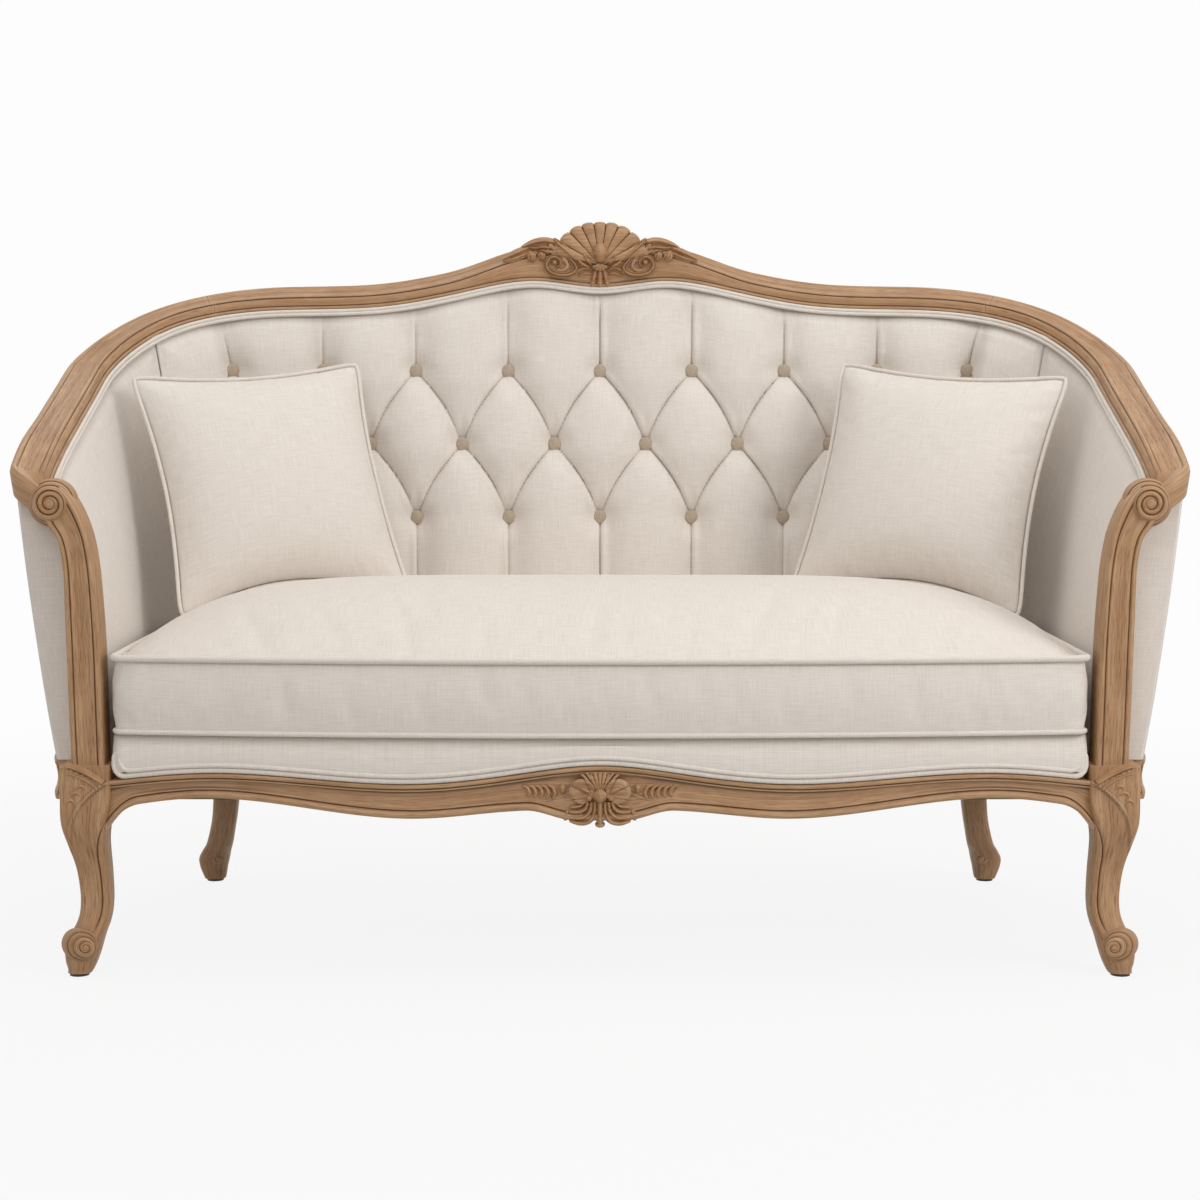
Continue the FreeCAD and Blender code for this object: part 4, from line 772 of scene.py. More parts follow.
# Scroll from its back to the edge of its face: reach beyond the face and depth behind it, as shares
SCROLL_STEPS = [
    (0, 1, 1), (0.04, 1, 0.6), (0.07, 0.9, 0.53), (0.1, 0.72, 0.5), (0.115, 0.6, 0.53), (0.13, 0.58, 0.46),
    (0.2, 0.5, 0.3), (0.23, 0.36, 0.26), (0.26, 0.18, 0.25), (0.275, 0.06, 0.28), (0.29, 0.04, 0.22), (0.34, 0, 0.1),
    (0.4, -0.35, 0),
]


def volute(x, z, radius, front, back, swell, lean, pitch, entry, eye=0.28):
    """Scroll that winds forward in rings to a face with a raised eye. A quirk winds in from the face's
    edge, where entry is its share of a turn. The scroll swells and leans aside towards its back."""
    at, beyond, behind = np.array(SCROLL_STEPS).T
    rim = radius - 0.35 * swell

    def shape(u, v):
        turn = 2 * math.pi * u
        reach = radius + swell * np.interp(v, at, beyond)
        reach = np.where(v > 0.4, rim * (1 - v) / 0.6, reach)
        depth = np.interp(v, at, behind)
        share = np.mod((reach - rim) / pitch - (u - entry) + 0.5, 1.0)
        face = smooth(0.4, 0.42, v) * smooth(eye * radius - 0.5, eye * radius + 1, reach)
        sunk = 0.1 * radius * np.exp(-(((share - 0.5) / 0.13) ** 2)) * face
        dome = 0.12 * radius * np.sqrt(np.clip(1 - (reach / (eye * radius)) ** 2, 0, 1)) * (v > 0.4)
        band = 0.05 * radius * np.sin(math.pi * np.mod(share + 0.5, 1.0)) * face
        y = front + (back - front) * depth + sunk - dome - band
        middle = x + lean * depth
        return stacked(middle + reach * np.cos(turn), y, z + reach * np.sin(turn))

    return skin(72, 100, shape, lids=True)


for side, name in SIDES:
    toe_scroll = volute(671.5, 43, 13, -346, -322, swell=9, lean=15, pitch=5.6, entry=0.36, eye=0.3)
    leg = gather([skin(120, 224, front_leg_shape, lids=True), toe_scroll])
    toe = rear_leg_shape(np.array([0.27]), np.array([0.875]))[0]
    rear = gather(
        [
            skin(60, 72, rear_leg_shape, lids=True), skin(12, 8, rear_block_shape, lids=True),
            volute(toe[0] - 9, toe[2] + 2, 8, toe[1] - 3, toe[1] + 26, swell=7, lean=8, pitch=4, entry=0.36, eye=0.36),
        ]
    )
    for part, node in ((leg, f"front_leg_{name}"), (rear, f"rear_leg_{name}")):
        piece(f"{node}_wood", sided(part, side), oak, [node])

# Arm posts: two beaded edges with a hollow panel between them, and a scroll on top

# Edges of the post: height, and how far out from the scroll's middle
POST_INNER = [
    (280, -65), (340, -63.8), (434, -62), (500, -58.5), (542, -55), (580, -48.5), (610, -38), (630, -27), (644, -14),
]
POST_OUTER = [(280, -22), (340, -20), (434, -18), (500, -16.5), (542, -15), (574, -9), (592, 2), (604, 8), (618, 10)]
POST_PROFILE = [
    (0, 6), (0.02, 2.4), (0.06, 0.8), (0.1, 0.2), (0.14, 0.6), (0.17, 2.4), (0.19, 3.2), (0.21, 2.0), (0.235, 1.2),
    (0.3, 1.9), (0.4, 2.7), (0.5, 3.0), (0.6, 2.7), (0.7, 1.9), (0.765, 1.2), (0.79, 2.0), (0.81, 3.2), (0.83, 2.4),
    (0.86, 0.6), (0.9, 0.2), (0.94, 0.8), (0.98, 2.4), (1, 6), (1, 47), (0.97, 50), (0.03, 50), (0, 47),
]


def post_shape(u, v):
    inner, outer = through(POST_INNER, u), through(POST_OUTER, u)
    share, depth = round_profile(POST_PROFILE, v)
    edge = inner + (outer - inner) * share[:, None]
    return stacked(SCROLL_X + edge[:, 1], POST_LINE - 25 + depth, edge[:, 0])


for side, name in SIDES:
    post = gather(
        [
            skin(90, len(POST_PROFILE), post_shape, lids=True),
            volute(
                SCROLL_X - 1, SCROLL_Z, SCROLL - 4, POST_LINE - 27.5, POST_BACK,
                swell=9, lean=5, pitch=7.4, entry=0.55,
            ),
        ]
    )
    piece(f"arm_post_wood_{name}", sided(post, side), oak, [f"arm_post_{name}"])

# Carving: leaves, stems, pods and shells set on a base that gives the place of (x, z, height)


def along(line, u, step):
    """Points of a line and the directions across it."""
    ahead = through(line, np.minimum(u + step, 1)) - through(line, np.maximum(u - step, 0))
    ahead /= np.maximum(np.linalg.norm(ahead, axis=1), 1e-6)[:, None]
    return through(line, u), stacked(-ahead[:, 1], ahead[:, 0])


def leaf(base, line, width, proud, veins=2.0, sunk=9.0, blunt=0.7, count=26):
    """Leaf along a line of (x, z) points, with a midrib, hollows beside it and veins."""

    def shape(u, v):
        front = v <= 0.8
        across = np.where(front, 2.5 * v - 1, 1 - (v - 0.8) * 10)
        middle, aside = along(line, u, 0.02)
        swell = np.sin(math.pi * np.clip(0.06 + 0.94 * u, 0, 1) ** 0.85) ** blunt
        at = middle + aside * (width * swell * across)[:, None]
        body = (1 - across**4) * (0.72 + 0.28 * np.cos(veins * math.pi * across))
        height = np.where(front, proud * swell * body, -sunk)
        return base(at[:, 0], at[:, 1], height)

    return skin(count, 30, shape, lids=True)


def stem(base, line, thick, thin, sunk=0.0, count=40):
    """Tapered roll along a line of (x, z) points."""

    def shape(u, v):
        turn = 2 * math.pi * v
        middle, aside = along(line, u, 0.01)
        radius = thick + (thin - thick) * u
        at = middle + aside * (radius * np.cos(turn))[:, None]
        return base(at[:, 0], at[:, 1], radius * np.sin(turn) - sunk)

    return skin(count, 12, shape, lids=True)


def pod(base, x, z, wide, high, proud, ribs=0, sunk=8.0, lean=0.0):
    """Domed oval, plain or ribbed from end to end."""

    def shape(u, v):
        turn = 2 * math.pi * u
        reach = np.minimum(v / 0.82, 1)
        dx, dz = wide * reach * np.cos(turn), high * reach * np.sin(turn)
        rib = 1 + (0.16 * np.cos(ribs * math.pi * reach * np.cos(turn)) if ribs else 0)
        dome = proud * np.sqrt(np.clip(1 - reach**2, 0, 1)) * rib
        height = np.where(v <= 0.82, dome, -sunk * (v - 0.82) / 0.18)
        c, s = math.cos(lean), math.sin(lean)
        return base(x + dx * c - dz * s, z + dx * s + dz * c, height)

    return skin(32, 16, shape, lids=True)


def fan(base, x, z, low, high, reach, ribs, proud, belly, flute, sunk, wider=0.0, disc=False):
    """Shell: round ribs that widen from a hinge to a scalloped rim, angles in degrees; a disc is a
    round petal with its hinge on the edge."""
    middle = math.radians((low + high) / 2)

    def shape(u, v):
        turn = np.radians(low + (high - low) * u)
        wave = np.abs(np.sin(math.pi * ribs * u)) ** 0.45
        front = np.minimum(v / 0.74, 1)
        back = np.clip((v - 0.74) / 0.26, 0, 1)
        far = (reach + wider * np.abs(np.cos(turn)) ** 1.5) * (0.95 + 0.05 * wave)
        far = far * np.cos(turn - middle) if disc else far
        radius = far * np.where(v <= 0.74, front, 1 - back)
        lift = proud + belly * np.sin(math.pi * front**0.8) + flute * (wave - 0.5) * front
        lift = lift - 3 * smooth(0.85, 1, front)
        height = np.where(v <= 0.74, lift, (1 - smooth(0, 0.3, back)) * (lift + sunk) - sunk)
        return base(x + radius * np.cos(turn), z + radius * np.sin(turn), height)

    return skin(ribs * 12, 34, shape, lids=True)


def crest_base(x, z, height):
    return place(x, RAIL_DEPTH / 2 + height, z)


def apron_base(x, z, height):
    return stacked(x, front_face(x) + 6.5 - height, z)


def knee_base(x, z, height):
    """Front of the right knee, round its outer corner."""
    levels = np.array(FRONT_LEVELS)
    lean, width, rounding = (np.interp(z, levels[:, 0], levels[:, k]) for k in (1, 2, 3))
    half = width / 2
    power = corner_power(rounding, half)
    run = np.clip(np.abs(x - LEG_X - LEG_LEAN * lean) / half, 0, 0.995)
    y = POST_LINE - LEG_LEAN * lean - half * (1 - run**power) ** (1 / power) + 6 * smooth(279, 284, z)
    return stacked(x, y - height, z)


def paired(make, base, line, *sizes):
    """A leaf or stem on each side of the middle."""
    return [make(base, [(sign * x, z) for x, z in line], *sizes) for sign in (1, -1)]


def paired_pods(base, x, *sizes, lean=0.0):
    return [pod(base, sign * x, *sizes, lean=sign * lean) for sign in (1, -1)]


def carve(name, base, parts, leaves, stems, stands_for):
    for make, rows in ((leaf, leaves), (stem, stems)):
        for line, *sizes in rows:
            parts += paired(make, base, line, *sizes)
    carving = gather(parts)
    box_uv(carving)
    piece(name, carving, oak, stands_for)


# Leaves on the right: line, width, height and veins, then depth, bluntness and count where these
# differ from the usual. Stems: line, thickness at each end, depth and count.
CREST_LEAVES = [
    # Side lobe of the leaf that hangs under the kernel
    ([(6, 958), (9.5, 945), (13, 930)], 5, 7.5, 1, 9, 0.35),
    # Leaflets between the kernel and the ribs
    ([(13, 966), (22, 975), (26, 986)], 5.2, 15, 1.5),
    ([(16, 962), (29, 968), (37, 978)], 5.4, 15, 1.5),
    # Curled leaf under the scroll
    ([(12, 958), (23, 961), (34, 957), (45, 950)], 6, 9, 2),
    ([(13, 952), (24, 953), (36, 948)], 4.6, 7, 1.5),
    # Side lobe of the shell, rolled over the scroll
    ([(36, 972), (50, 985), (64, 997), (73, 1008)], 8, 15, 2),
    # C-scroll that rolls in to a volute
    ([(74, 1003), (60, 991), (46, 975), (37, 962), (43, 953.5), (55, 950), (68, 951), (79, 956), (84, 965),
      (80, 975), (71, 978), (63, 973), (63, 966), (69, 963.5)], 5.6, 10, 2, 9, 0.22, 110),
    # Acanthus over the scroll and along the rail
    ([(66, 1000), (86, 1003), (106, 1000), (126, 992)], 6.5, 9, 1.5),
    ([(74, 992), (88, 993), (102, 992), (116, 993)], 5, 9, 1.5),
    ([(80, 984), (90, 988), (100, 988)], 4.6, 10, 1.5),
    ([(112, 993), (126, 987), (140, 981), (154, 974)], 6, 8, 1.5),
    ([(112, 985), (126, 979), (140, 974), (153, 972)], 5.6, 7, 1.5),
]
# Inner bands of the C-scroll
CREST_STEMS = [
    ([(80, 997), (66, 987), (55, 974), (51, 964), (58, 957.5), (67, 958)], 4.0, 2.2, -2, 60),
    ([(84, 989), (73, 984), (61, 980), (57, 971)], 3.0, 1.6, -2),
]
crest_parts = [
    fan(crest_base, 0, 966, 12, 168, 67, 9, 6, 2.5, 4.2, 4, wider=11),
    pod(crest_base, 1, 984, 12.5, 17, 25, sunk=6),
    # Cup under the kernel and the middle of the leaf that hangs from it
    fan(crest_base, 0, 968, 200, 340, 13, 5, 11, 4, 2.0, 4),
    leaf(crest_base, [(0, 958), (0, 946), (0, 930)], 6, 8.5, 1, blunt=0.35),
    # Eye of the volute and two pods among the acanthus
    *paired_pods(crest_base, 71.5, 969.5, 4.6, 4.6, 9),
    *paired_pods(crest_base, 91.5, 980, 6.4, 8.4, 10, 2, lean=-0.25),
    *paired_pods(crest_base, 107.5, 979.5, 7.6, 9.6, 10, 2, lean=-0.3),
]
carve("crest_carving", crest_base, crest_parts, CREST_LEAVES, CREST_STEMS, ["crest_shell"])

APRON_LEAVES = [
    # Fold between the petal and the fan
    ([(12, 251), (20, 256), (29, 258)], 4.4, 12, 1),
    # Lower leaf of long flutes that bend outward
    ([(6.5, 240), (7.5, 225), (14, 214.5), (26, 211.5), (40, 215)], 4.4, 9, 1, 9, 0.25, 44),
    ([(11, 240), (13, 228), (20, 220.5), (30, 218.5), (41, 220.5)], 4.4, 10, 1, 9, 0.25, 44),
    ([(15.5, 240), (19, 231), (27, 226.5), (41, 226.5)], 4.4, 10, 1, 9, 0.25, 40),
    ([(20, 239), (27, 234), (39, 232.5)], 3.6, 9, 1, 9, 0.25),
    # Step where the lower bead stops against the flower
    ([(41, 229), (44, 222), (45, 214.5)], 3.4, 6.5, 1, 9, 0.25),
]
# Feathered leaf along the rail
for k in range(5):
    root = 61 + 8.2 * k
    line = [(root, 243 + 0.7 * k), (root - 3, 250.5), (root + 0.5, 258), (root + 8, 261.5 - 0.4 * k)]
    APRON_LEAVES.append((line, 3.5, 6 - 0.4 * k, 1, 9, 0.5))
# Two folds between the petal and the fan, and the twig beside the petal
APRON_STEMS = [
    ([(10, 252), (13, 262), (20, 272), (24, 275)], 2.4, 1.6, -5),
    ([(7, 255), (9, 264), (15, 274), (18, 277)], 2.2, 1.4, -4),
    ([(38, 251), (50, 246), (62, 242), (72, 240.5)], 2.0, 1.2, -0.6),
]
apron_parts = [
    fan(apron_base, 0, 248, 58, 122, 30, 5, 4, 3, 2.6, 6),
    pod(apron_base, 0, 247.5, 10.5, 10, 16, 1.6),
    leaf(apron_base, [(0, 240), (0, 224), (0, 207)], 5.4, 11, 1, blunt=0.25),
    pod(apron_base, 0, 209, 6.4, 3.6, 9),
    # Round side petals, dished inside their rims
    fan(apron_base, 9, 246, -42, 98, 33, 4, 10, -3, 2.0, 6, disc=True),
    fan(apron_base, -9, 246, 82, 222, 33, 4, 10, -3, 2.0, 6, disc=True),
    # Bead beside the middle and the twig's bud
    *paired_pods(apron_base, 14, 244.5, 4.4, 4.4, 14),
    *paired_pods(apron_base, 48.5, 256.5, 4.4, 6, 8, 1.6),
]
carve("apron_carving", apron_base, apron_parts, APRON_LEAVES, APRON_STEMS, ["apron_flower"])

KNEE_LEAVES = [
    # Two lips under the post
    ([(648, 258), (659, 265.5), (669, 271.5), (680, 276.5), (690, 279.5), (699, 280.5)], 3.8, 5.4, 1, 7, 0.22, 44),
    ([(656, 252.5), (665, 259), (675, 265), (686, 269.5), (698, 271)], 3.0, 4.2, 1, 5, 0.25, 36),
    # Leaflets above the raised leaf
    ([(670, 250), (675, 255), (681, 253), (682, 246)], 3.4, 4.6, 1, 4),
    ([(676, 241.5), (682, 246), (688, 243.5), (689, 236)], 3.4, 4.4, 1, 4),
    ([(684, 231), (689, 236), (694.5, 233), (695, 224)], 3.2, 4.2, 1, 4),
]
# Curl between the lips and the leaflets, wound 350 degrees
turn, radius = np.radians(np.linspace(130, 480, 22)), np.linspace(6.0, 1.8, 22)
KNEE_CURL = stacked(691.5 + radius * np.cos(turn), 258 + radius * np.sin(turn))
for side, name in SIDES:
    knee = [leaf(knee_base, line, *sizes) for line, *sizes in KNEE_LEAVES]
    knee.append(stem(knee_base, KNEE_CURL, 1.8, 1.2, -0.6, 50))
    piece(f"knee_carving_{name}", sided(gather(knee), side), oak)

# Walls: outside covers

COVER = 3.0
# Half of the seam between the outside covers
SEAM_GAP = 2.6
CAVITY = 24.0


def wall_top(s):
    roll = rail_roll(s)
    depth = rail_inner(s) - RAIL_DEPTH * np.cos(roll) + 3
    return depth, rail_edge(s) - (RAIL_DEPTH - 3) * np.sin(roll) * rail_stretch(s) - 1.2


def wall_face(s, share):
    """Depth and height of the outer cover, a share of the way up."""
    depth, height = wall_top(s)
    foot = seat_inset(s) + 3
    facing = np.maximum(0, plan(s)[3]) ** 2
    swell = -13 + 7 * facing + 10 * tuck(s)
    low = SEAT_TOP + CLEAR
    return foot + (depth - foot) * share + 4 * swell * share * (1 - share), low + (height - low) * share


def cover_shape(low, high):
    def shape(u, v):
        s = low + (high - low) * u
        rows = [0, 0.6, 0.64, 0.96, 1]
        share = np.interp(v, rows, [0, 1, 1, 0, 0])
        inner = np.interp(v, rows, [0, 0, COVER, COVER, 0])
        depth, height = wall_face(s, share)
        return place(s, depth + inner, height)

    return shape


def arm_cover_shape(side):
    """Outer cover of an arm, which turns in at its front end to the back of the post, where its two
    faces meet."""

    def shape(u, v):
        rows = [0, 0.48, 0.5, 0.98, 1]
        share = np.interp(v, rows, [0, 1, 1, 0, 0])
        inner = np.interp(v, rows, [0, 0, COVER, COVER, 0]) * (1 - smooth(0.96, 1, u))
        low, high = REAR_STATION + SEAM_GAP, RAIL_END - CLEAR - 4
        s = low + (high - low) * np.minimum(u / 0.85, 1)
        depth, height = wall_face(s, share)
        start = HALF_WIDTH - depth - 4
        post = SCROLL_X - 8 + np.interp(height, *np.array(POST_OUTER, float).T)
        turned = start + (post - start) * np.clip((u - 0.86) / 0.14, 0, 1)
        flap = stacked(side * turned, POST_BACK + CLEAR + inner, height)
        return np.where((u > 0.855)[:, None], flap, place(side * s, depth + inner, height))

    return shape


back_cover = skin(150, 50, cover_shape(SEAM_GAP - REAR_STATION, REAR_STATION - SEAM_GAP), lids=True)
upholstered("outside_back_cover", back_cover, "outside_back")
for side, name in SIDES:
    arm = skin(100, 50, arm_cover_shape(side), lids=True)
    upholstered(f"outside_arm_cover_{name}", arm, f"outside_arm_{name}")
seams = []
for sign in (1, -1):
    share = np.linspace(0.01, 0.99, 40)
    depth, height = wall_face(np.full(40, REAR_STATION), share)
    seams.append(cord(place(np.full(40, sign * REAR_STATION), depth - 0.6, height), 2.6, up=(0.3 * sign, 1, 0)))
piece("outside_seam_welt", gather(seams), welt_cloth, ["outside_welt"])

# Inside back and arms

PAD_LOW = SEAT_TOP + 6
# Depth of the pads' foot, and how far they swell half-way up
PAD_FOOT, PAD_SWELL = 104, 18
TUFT_ROWS = (801.0, 687.5, 574.0)
TUFT_SPACE = SEAM_STATION / 5
PLEAT_SINK, TUFT_RISE, BUTTON_SINK = 10, 19, 14


def pad_top(s):
    return rail_inner(s) + 2 + 5 * tuck(s), rail_edge(s) - 10 * rail_stretch(s)


def pad_face(s, height):
    top, high = pad_top(s)
    share = (height - PAD_LOW) / (high - PAD_LOW)
    return PAD_FOOT + (top - PAD_FOOT) * share + 4 * PAD_SWELL * share * (1 - share)


def pad_rear(s, share):
    depth, top = wall_top(s)
    foot = seat_inset(s) + 3 + CAVITY
    high = pad_top(s)[1]
    slope = (depth + CAVITY - foot) / (top - SEAT_TOP)
    drop = (rail_inner(s) - foot - slope * (high - SEAT_TOP)) * np.tan(rail_roll(s)) * rail_stretch(s)
    height = PAD_LOW + (high - np.maximum(0, drop) - PAD_LOW) * share
    return foot + slope * (height - SEAT_TOP), height


def tuft_grid(s, height):
    """Column and row of the tufting, and the row with the pleats' bow."""
    column = s / TUFT_SPACE
    row = (TUFT_ROWS[0] - height) / (TUFT_ROWS[0] - TUFT_ROWS[1])
    inside = np.clip(row, 0, 2)
    step = np.floor(np.minimum(inside, 1.9999))
    bow = inside + 0.15 * np.sin(math.pi * (inside - step)) * (1 - 0.25 * (inside - step))
    # Upper outer pleats lean out to the rail
    lean = 0.22 * np.sign(column) * smooth(3.3, 4.2, np.abs(column)) * np.clip(-row, 0, 1)
    return column - lean, row, bow


def pleat_lines(s, height):
    """Distances along s to the nearest pleat of each slant; buttons stand where the two meet."""
    column, _, bow = tuft_grid(s, height)
    lines = [column + slant * bow for slant in (0.5, -0.5)]
    return [(line - np.rint(line)) * TUFT_SPACE for line in lines]


def tuft_swell(s, height):
    """How far the tufted face stands before the plain pad, with its pleats, dimples and swells."""
    column, row, _ = tuft_grid(s, height)
    fade = 1 - smooth(4.03, 4.3, np.abs(column))
    upright = 1 - smooth(-0.16, 0.06, row) + smooth(1.94, 2.16, row)
    puff = np.ones_like(column)
    crease = np.zeros_like(column)
    for away in pleat_lines(s, height):
        away = away * (0.84 + 0.16 * upright)
        puff = puff * (1 - fade * np.exp(-((np.abs(away) / 27) ** 1.5)))
        crease = np.maximum(crease, fade * np.exp(-((away / 2.6) ** 2)))
        # The outer fold of each pleat lies over the inner one
        over = np.exp(-((np.abs(away) - 4.5) / 5) ** 2) * smooth(0.2, 3.0, away * np.sign(column))
        puff = puff + (0.06 + 0.04 * upright) * over * fade
    swell = -PLEAT_SINK + TUFT_RISE * puff**0.7 - 3.4 * crease
    # Dimples at the buttons, with a soft tension fold above each
    for number, level in enumerate(TUFT_ROWS):
        shift = 0.5 if number == 1 else 0.0
        nearest = np.clip(np.rint(column - shift), -4, 4 - number % 2) + shift
        across = (column - nearest) * TUFT_SPACE
        up = height - level
        swell = swell - BUTTON_SINK * np.exp(-((np.hypot(across, up) / 22) ** 2))
        if number:
            fold = np.exp(-((across / 7) ** 2)) * smooth(0, 14, up) * (1 - smooth(18, 62, up))
            swell = swell - 4.2 * fold
    # Sewn edges
    high = pad_top(s)[1]
    edge = np.minimum(np.minimum(high - height, (height - PAD_LOW) * 1.2), SEAM_STATION - np.abs(s))
    return swell * (0.25 + 0.75 * smooth(0, 55, edge)) - 6 * (1 - smooth(0, 18, edge))


def inside_back_shape(u, v):
    s = (SEAM_STATION - CLEAR) * (2 * u - 1)
    front = v <= 0.95
    share = np.where(front, v / 0.95, (1 - v) / 0.05)
    height = PAD_LOW + (pad_top(s)[1] - PAD_LOW) * share
    # Points beside a pleat are drawn on to it, which keeps the pleat's line clean
    for slant in (0, 1):
        near = (np.abs(pleat_lines(s, height)[slant]) < 1.54) & (np.abs(s) < 4.3 * TUFT_SPACE) & front
        for _ in range(4):
            s = np.where(near, s - pleat_lines(s, height)[slant], s)
    rear, rear_height = pad_rear(s, share)
    depth = np.maximum(pad_face(s, height) + tuft_swell(s, height), rear + 5)
    return place(s, np.where(front, depth, rear), np.where(front, height, rear_height))


back_bm = skin(470, 200, inside_back_shape, lids=True)
upholstered("inside_back_cover", back_bm, "inside_back", sharp=70)


def inside_arm_shape(side):
    def shape(u, v):
        s = side * (SEAM_STATION + CLEAR + (RAIL_END - SEAM_STATION - 2 * CLEAR) * u)
        front = v <= 0.9
        share = np.where(front, v / 0.9, (1 - v) / 0.1)
        high = pad_top(s)[1]
        height = PAD_LOW + (high - PAD_LOW) * share
        edge = np.minimum(np.minimum(np.abs(s) - SEAM_STATION, RAIL_END - np.abs(s)), high - height)
        drawn = 6 * (1 - smooth(0, 26, edge))
        depth = pad_face(s, height) - drawn
        rear, rear_height = pad_rear(s, share)
        return place(s, np.where(front, depth, rear), np.where(front, height, rear_height))

    return shape


for side, name in SIDES:
    arm = skin(110, 110, inside_arm_shape(side), lids=True)
    upholstered(f"inside_arm_cover_{name}", arm, f"inside_arm_{name}")

# Double welt that hides the tacks under the top rail

welts = []
for drop, inset, radius in ((3.1, 1.6, 3.0), (8.2, 3.2, 2.8)):
    s = np.linspace(-RAIL_END + CLEAR, RAIL_END - CLEAR, 420)
    line = place(s, rail_inner(s) + inset + 2 * tuck(s), rail_edge(s) - drop * rail_stretch(s))
    welts.append(cord(line, radius))
piece("rail_welt", gather(welts), welt_cloth, ["back_welt"])

# Tuft buttons: covered domes on their seats

BUTTON_PROFILE = [
    (0, 6.6), (4, 6.3), (7.4, 5.2), (9.8, 3.4), (11, 1.2), (11.1, -0.6), (10, -2.4), (5, -4), (0, -4.2),
]


def button(s, height):
    out_x, out_y = (float(c) for c in plan(s)[2:])
    spot = np.array([s]), np.array([height])
    middle = place(*spot[:1], pad_face(*spot) + tuft_swell(*spot) + 5.5, height)[0]

    def shape(u, v):
        reach, lift = through(BUTTON_PROFILE, v).T
        turn = 2 * math.pi * u
        aside, up = reach * np.cos(turn), reach * np.sin(turn)
        return middle + stacked(out_y * aside - out_x * lift, -out_x * aside - out_y * lift, up)

    return skin(28, 20, shape)


buttons = []
for number, level in enumerate(TUFT_ROWS):
    shift = 0.5 * (number % 2)
    buttons += [button((k + shift) * TUFT_SPACE, level) for k in range(-4, 5 - number % 2)]
piece("covered_buttons", gather(buttons), button_cloth, ["tuft_buttons"])

# Seat: deck, front border with its double welt, dust cover

# Share of the seat's columns between its back corners
FLAT_SHARE = 0.72


def cushion_places(u, inset):
    """X across the seat, closer together round the corners."""
    near = CORNER_RADIUS - inset
    run = 2 * np.asarray(u) - 1
    far = np.abs(run)
    turn = BACK_ANGLE + (math.pi / 2 - BACK_ANGLE) * np.clip((far - FLAT_SHARE) / (1 - FLAT_SHARE), 0, 1)
    flat = np.minimum(far / FLAT_SHARE, 1) * (CORNER_X + near * math.sin(BACK_ANGLE))
    return np.sign(run) * np.where(far < FLAT_SHARE, flat, CORNER_X + near * np.sin(turn))


def cushion_back(x, inset):
    x = np.abs(x)
    far, near = BACK_RADIUS - inset, CORNER_RADIUS - inset
    arc = CORNER_Y + np.sqrt(np.maximum(0, near**2 - np.maximum(0, x - CORNER_X) ** 2))
    long_arc = BACK_LINE - BACK_RADIUS + np.sqrt(far**2 - x**2)
    return np.where(x <= CORNER_X + near * math.sin(BACK_ANGLE), long_arc, arc)


def panel(inset, front, height, corner, columns, rows):
    """Seat-shaped panel; height gives z for x and a share of the way back."""
    half = CORNER_X + CORNER_RADIUS - inset

    def shape(u, v):
        x = cushion_places(u, inset)
        from_end = np.maximum(0, corner - (half - np.abs(x)))
        near = front(x) + corner - np.sqrt(np.maximum(0, corner**2 - from_end**2))
        y = near + (cushion_back(x, inset) - near) * v
        return stacked(x, y, height(x / half, v))

    return skin(columns, rows, shape)


def boxed(top, bottom, cuts, swell):
    """Closes two panels with a boxing strip that swells between its seams."""
    whole = gather([top, bottom])
    strip = bmesh.ops.bridge_loops(whole, edges=[e for e in whole.edges if e.is_boundary])
    rise = bmesh.ops.subdivide_edges(whole, edges=strip["edges"], cuts=cuts, use_grid_fill=True)
    whole.normal_update()
    inner = [g for g in rise["geom_inner"] if isinstance(g, bmesh.types.BMVert)]
    low = min(v.co.z for v in whole.verts)
    high = max(v.co.z for v in inner) + (max(v.co.z for v in inner) - low) / cuts
    for vert in inner:
        share = (vert.co.z - low) / (high - low)
        out = vert.normal.copy()
        out.z = 0
        vert.co += out.normalized() * (swell * MM * math.sin(math.pi * min(1, share)))
    bmesh.ops.recalc_face_normals(whole, faces=whole.faces)
    box_uv(whole)
    return whole


DECK_LOW = SEAT_TOP + 2.4
DECK_TOP = DECK_LOW + 38.6
DECK_INSET, DECK_CORNER = 114, 6


def deck_front(x):
    return front_face(x) + 36.8


def deck_height(x, v):
    return DECK_TOP - 3 + 3 * (1 - (2 * v - 1) ** 8) * (1 - x**8)


deck = boxed(
    panel(DECK_INSET, deck_front, deck_height, DECK_CORNER, 90, 40),
    panel(DECK_INSET, deck_front, lambda x, v: DECK_LOW + 0 * v, DECK_CORNER, 90, 40),
    4, 0.0,
)
upholstered("seat_deck_cover", deck, "seat_deck", sharp=60)

BORDER_HALF = RAIL_HALF - 3
BORDER_PROFILE = [
    (34, 0, 0), (4, 0, 0), (1.2, 0.4, 0), (0.2, 2, 0), (-1.6, 0, 0.25), (-2.6, 0, 0.45), (-1.8, 0, 0.65),
    (0.6, -9, 1), (2.4, -5, 1), (5.6, -1.8, 1), (11, 0, 1), (22, 0, 1), (34, 0, 1),
]


def border_shape(u, v):
    x = BORDER_HALF * (2 * u - 1)
    foot = front_top(x) + 9.2
    high = DECK_TOP - foot
    inward, up, share = round_profile(BORDER_PROFILE, v)
    ends = 6 * (1 - np.sqrt(np.clip(1 - np.maximum(0, 1 - (BORDER_HALF - np.abs(x)) / 8) ** 2, 0, 1)))
    inward = np.where(inward < 20, inward + ends, inward)
    return stacked(x, front_face(x) + 2 + inward + 7 * share, foot + up + share * high)


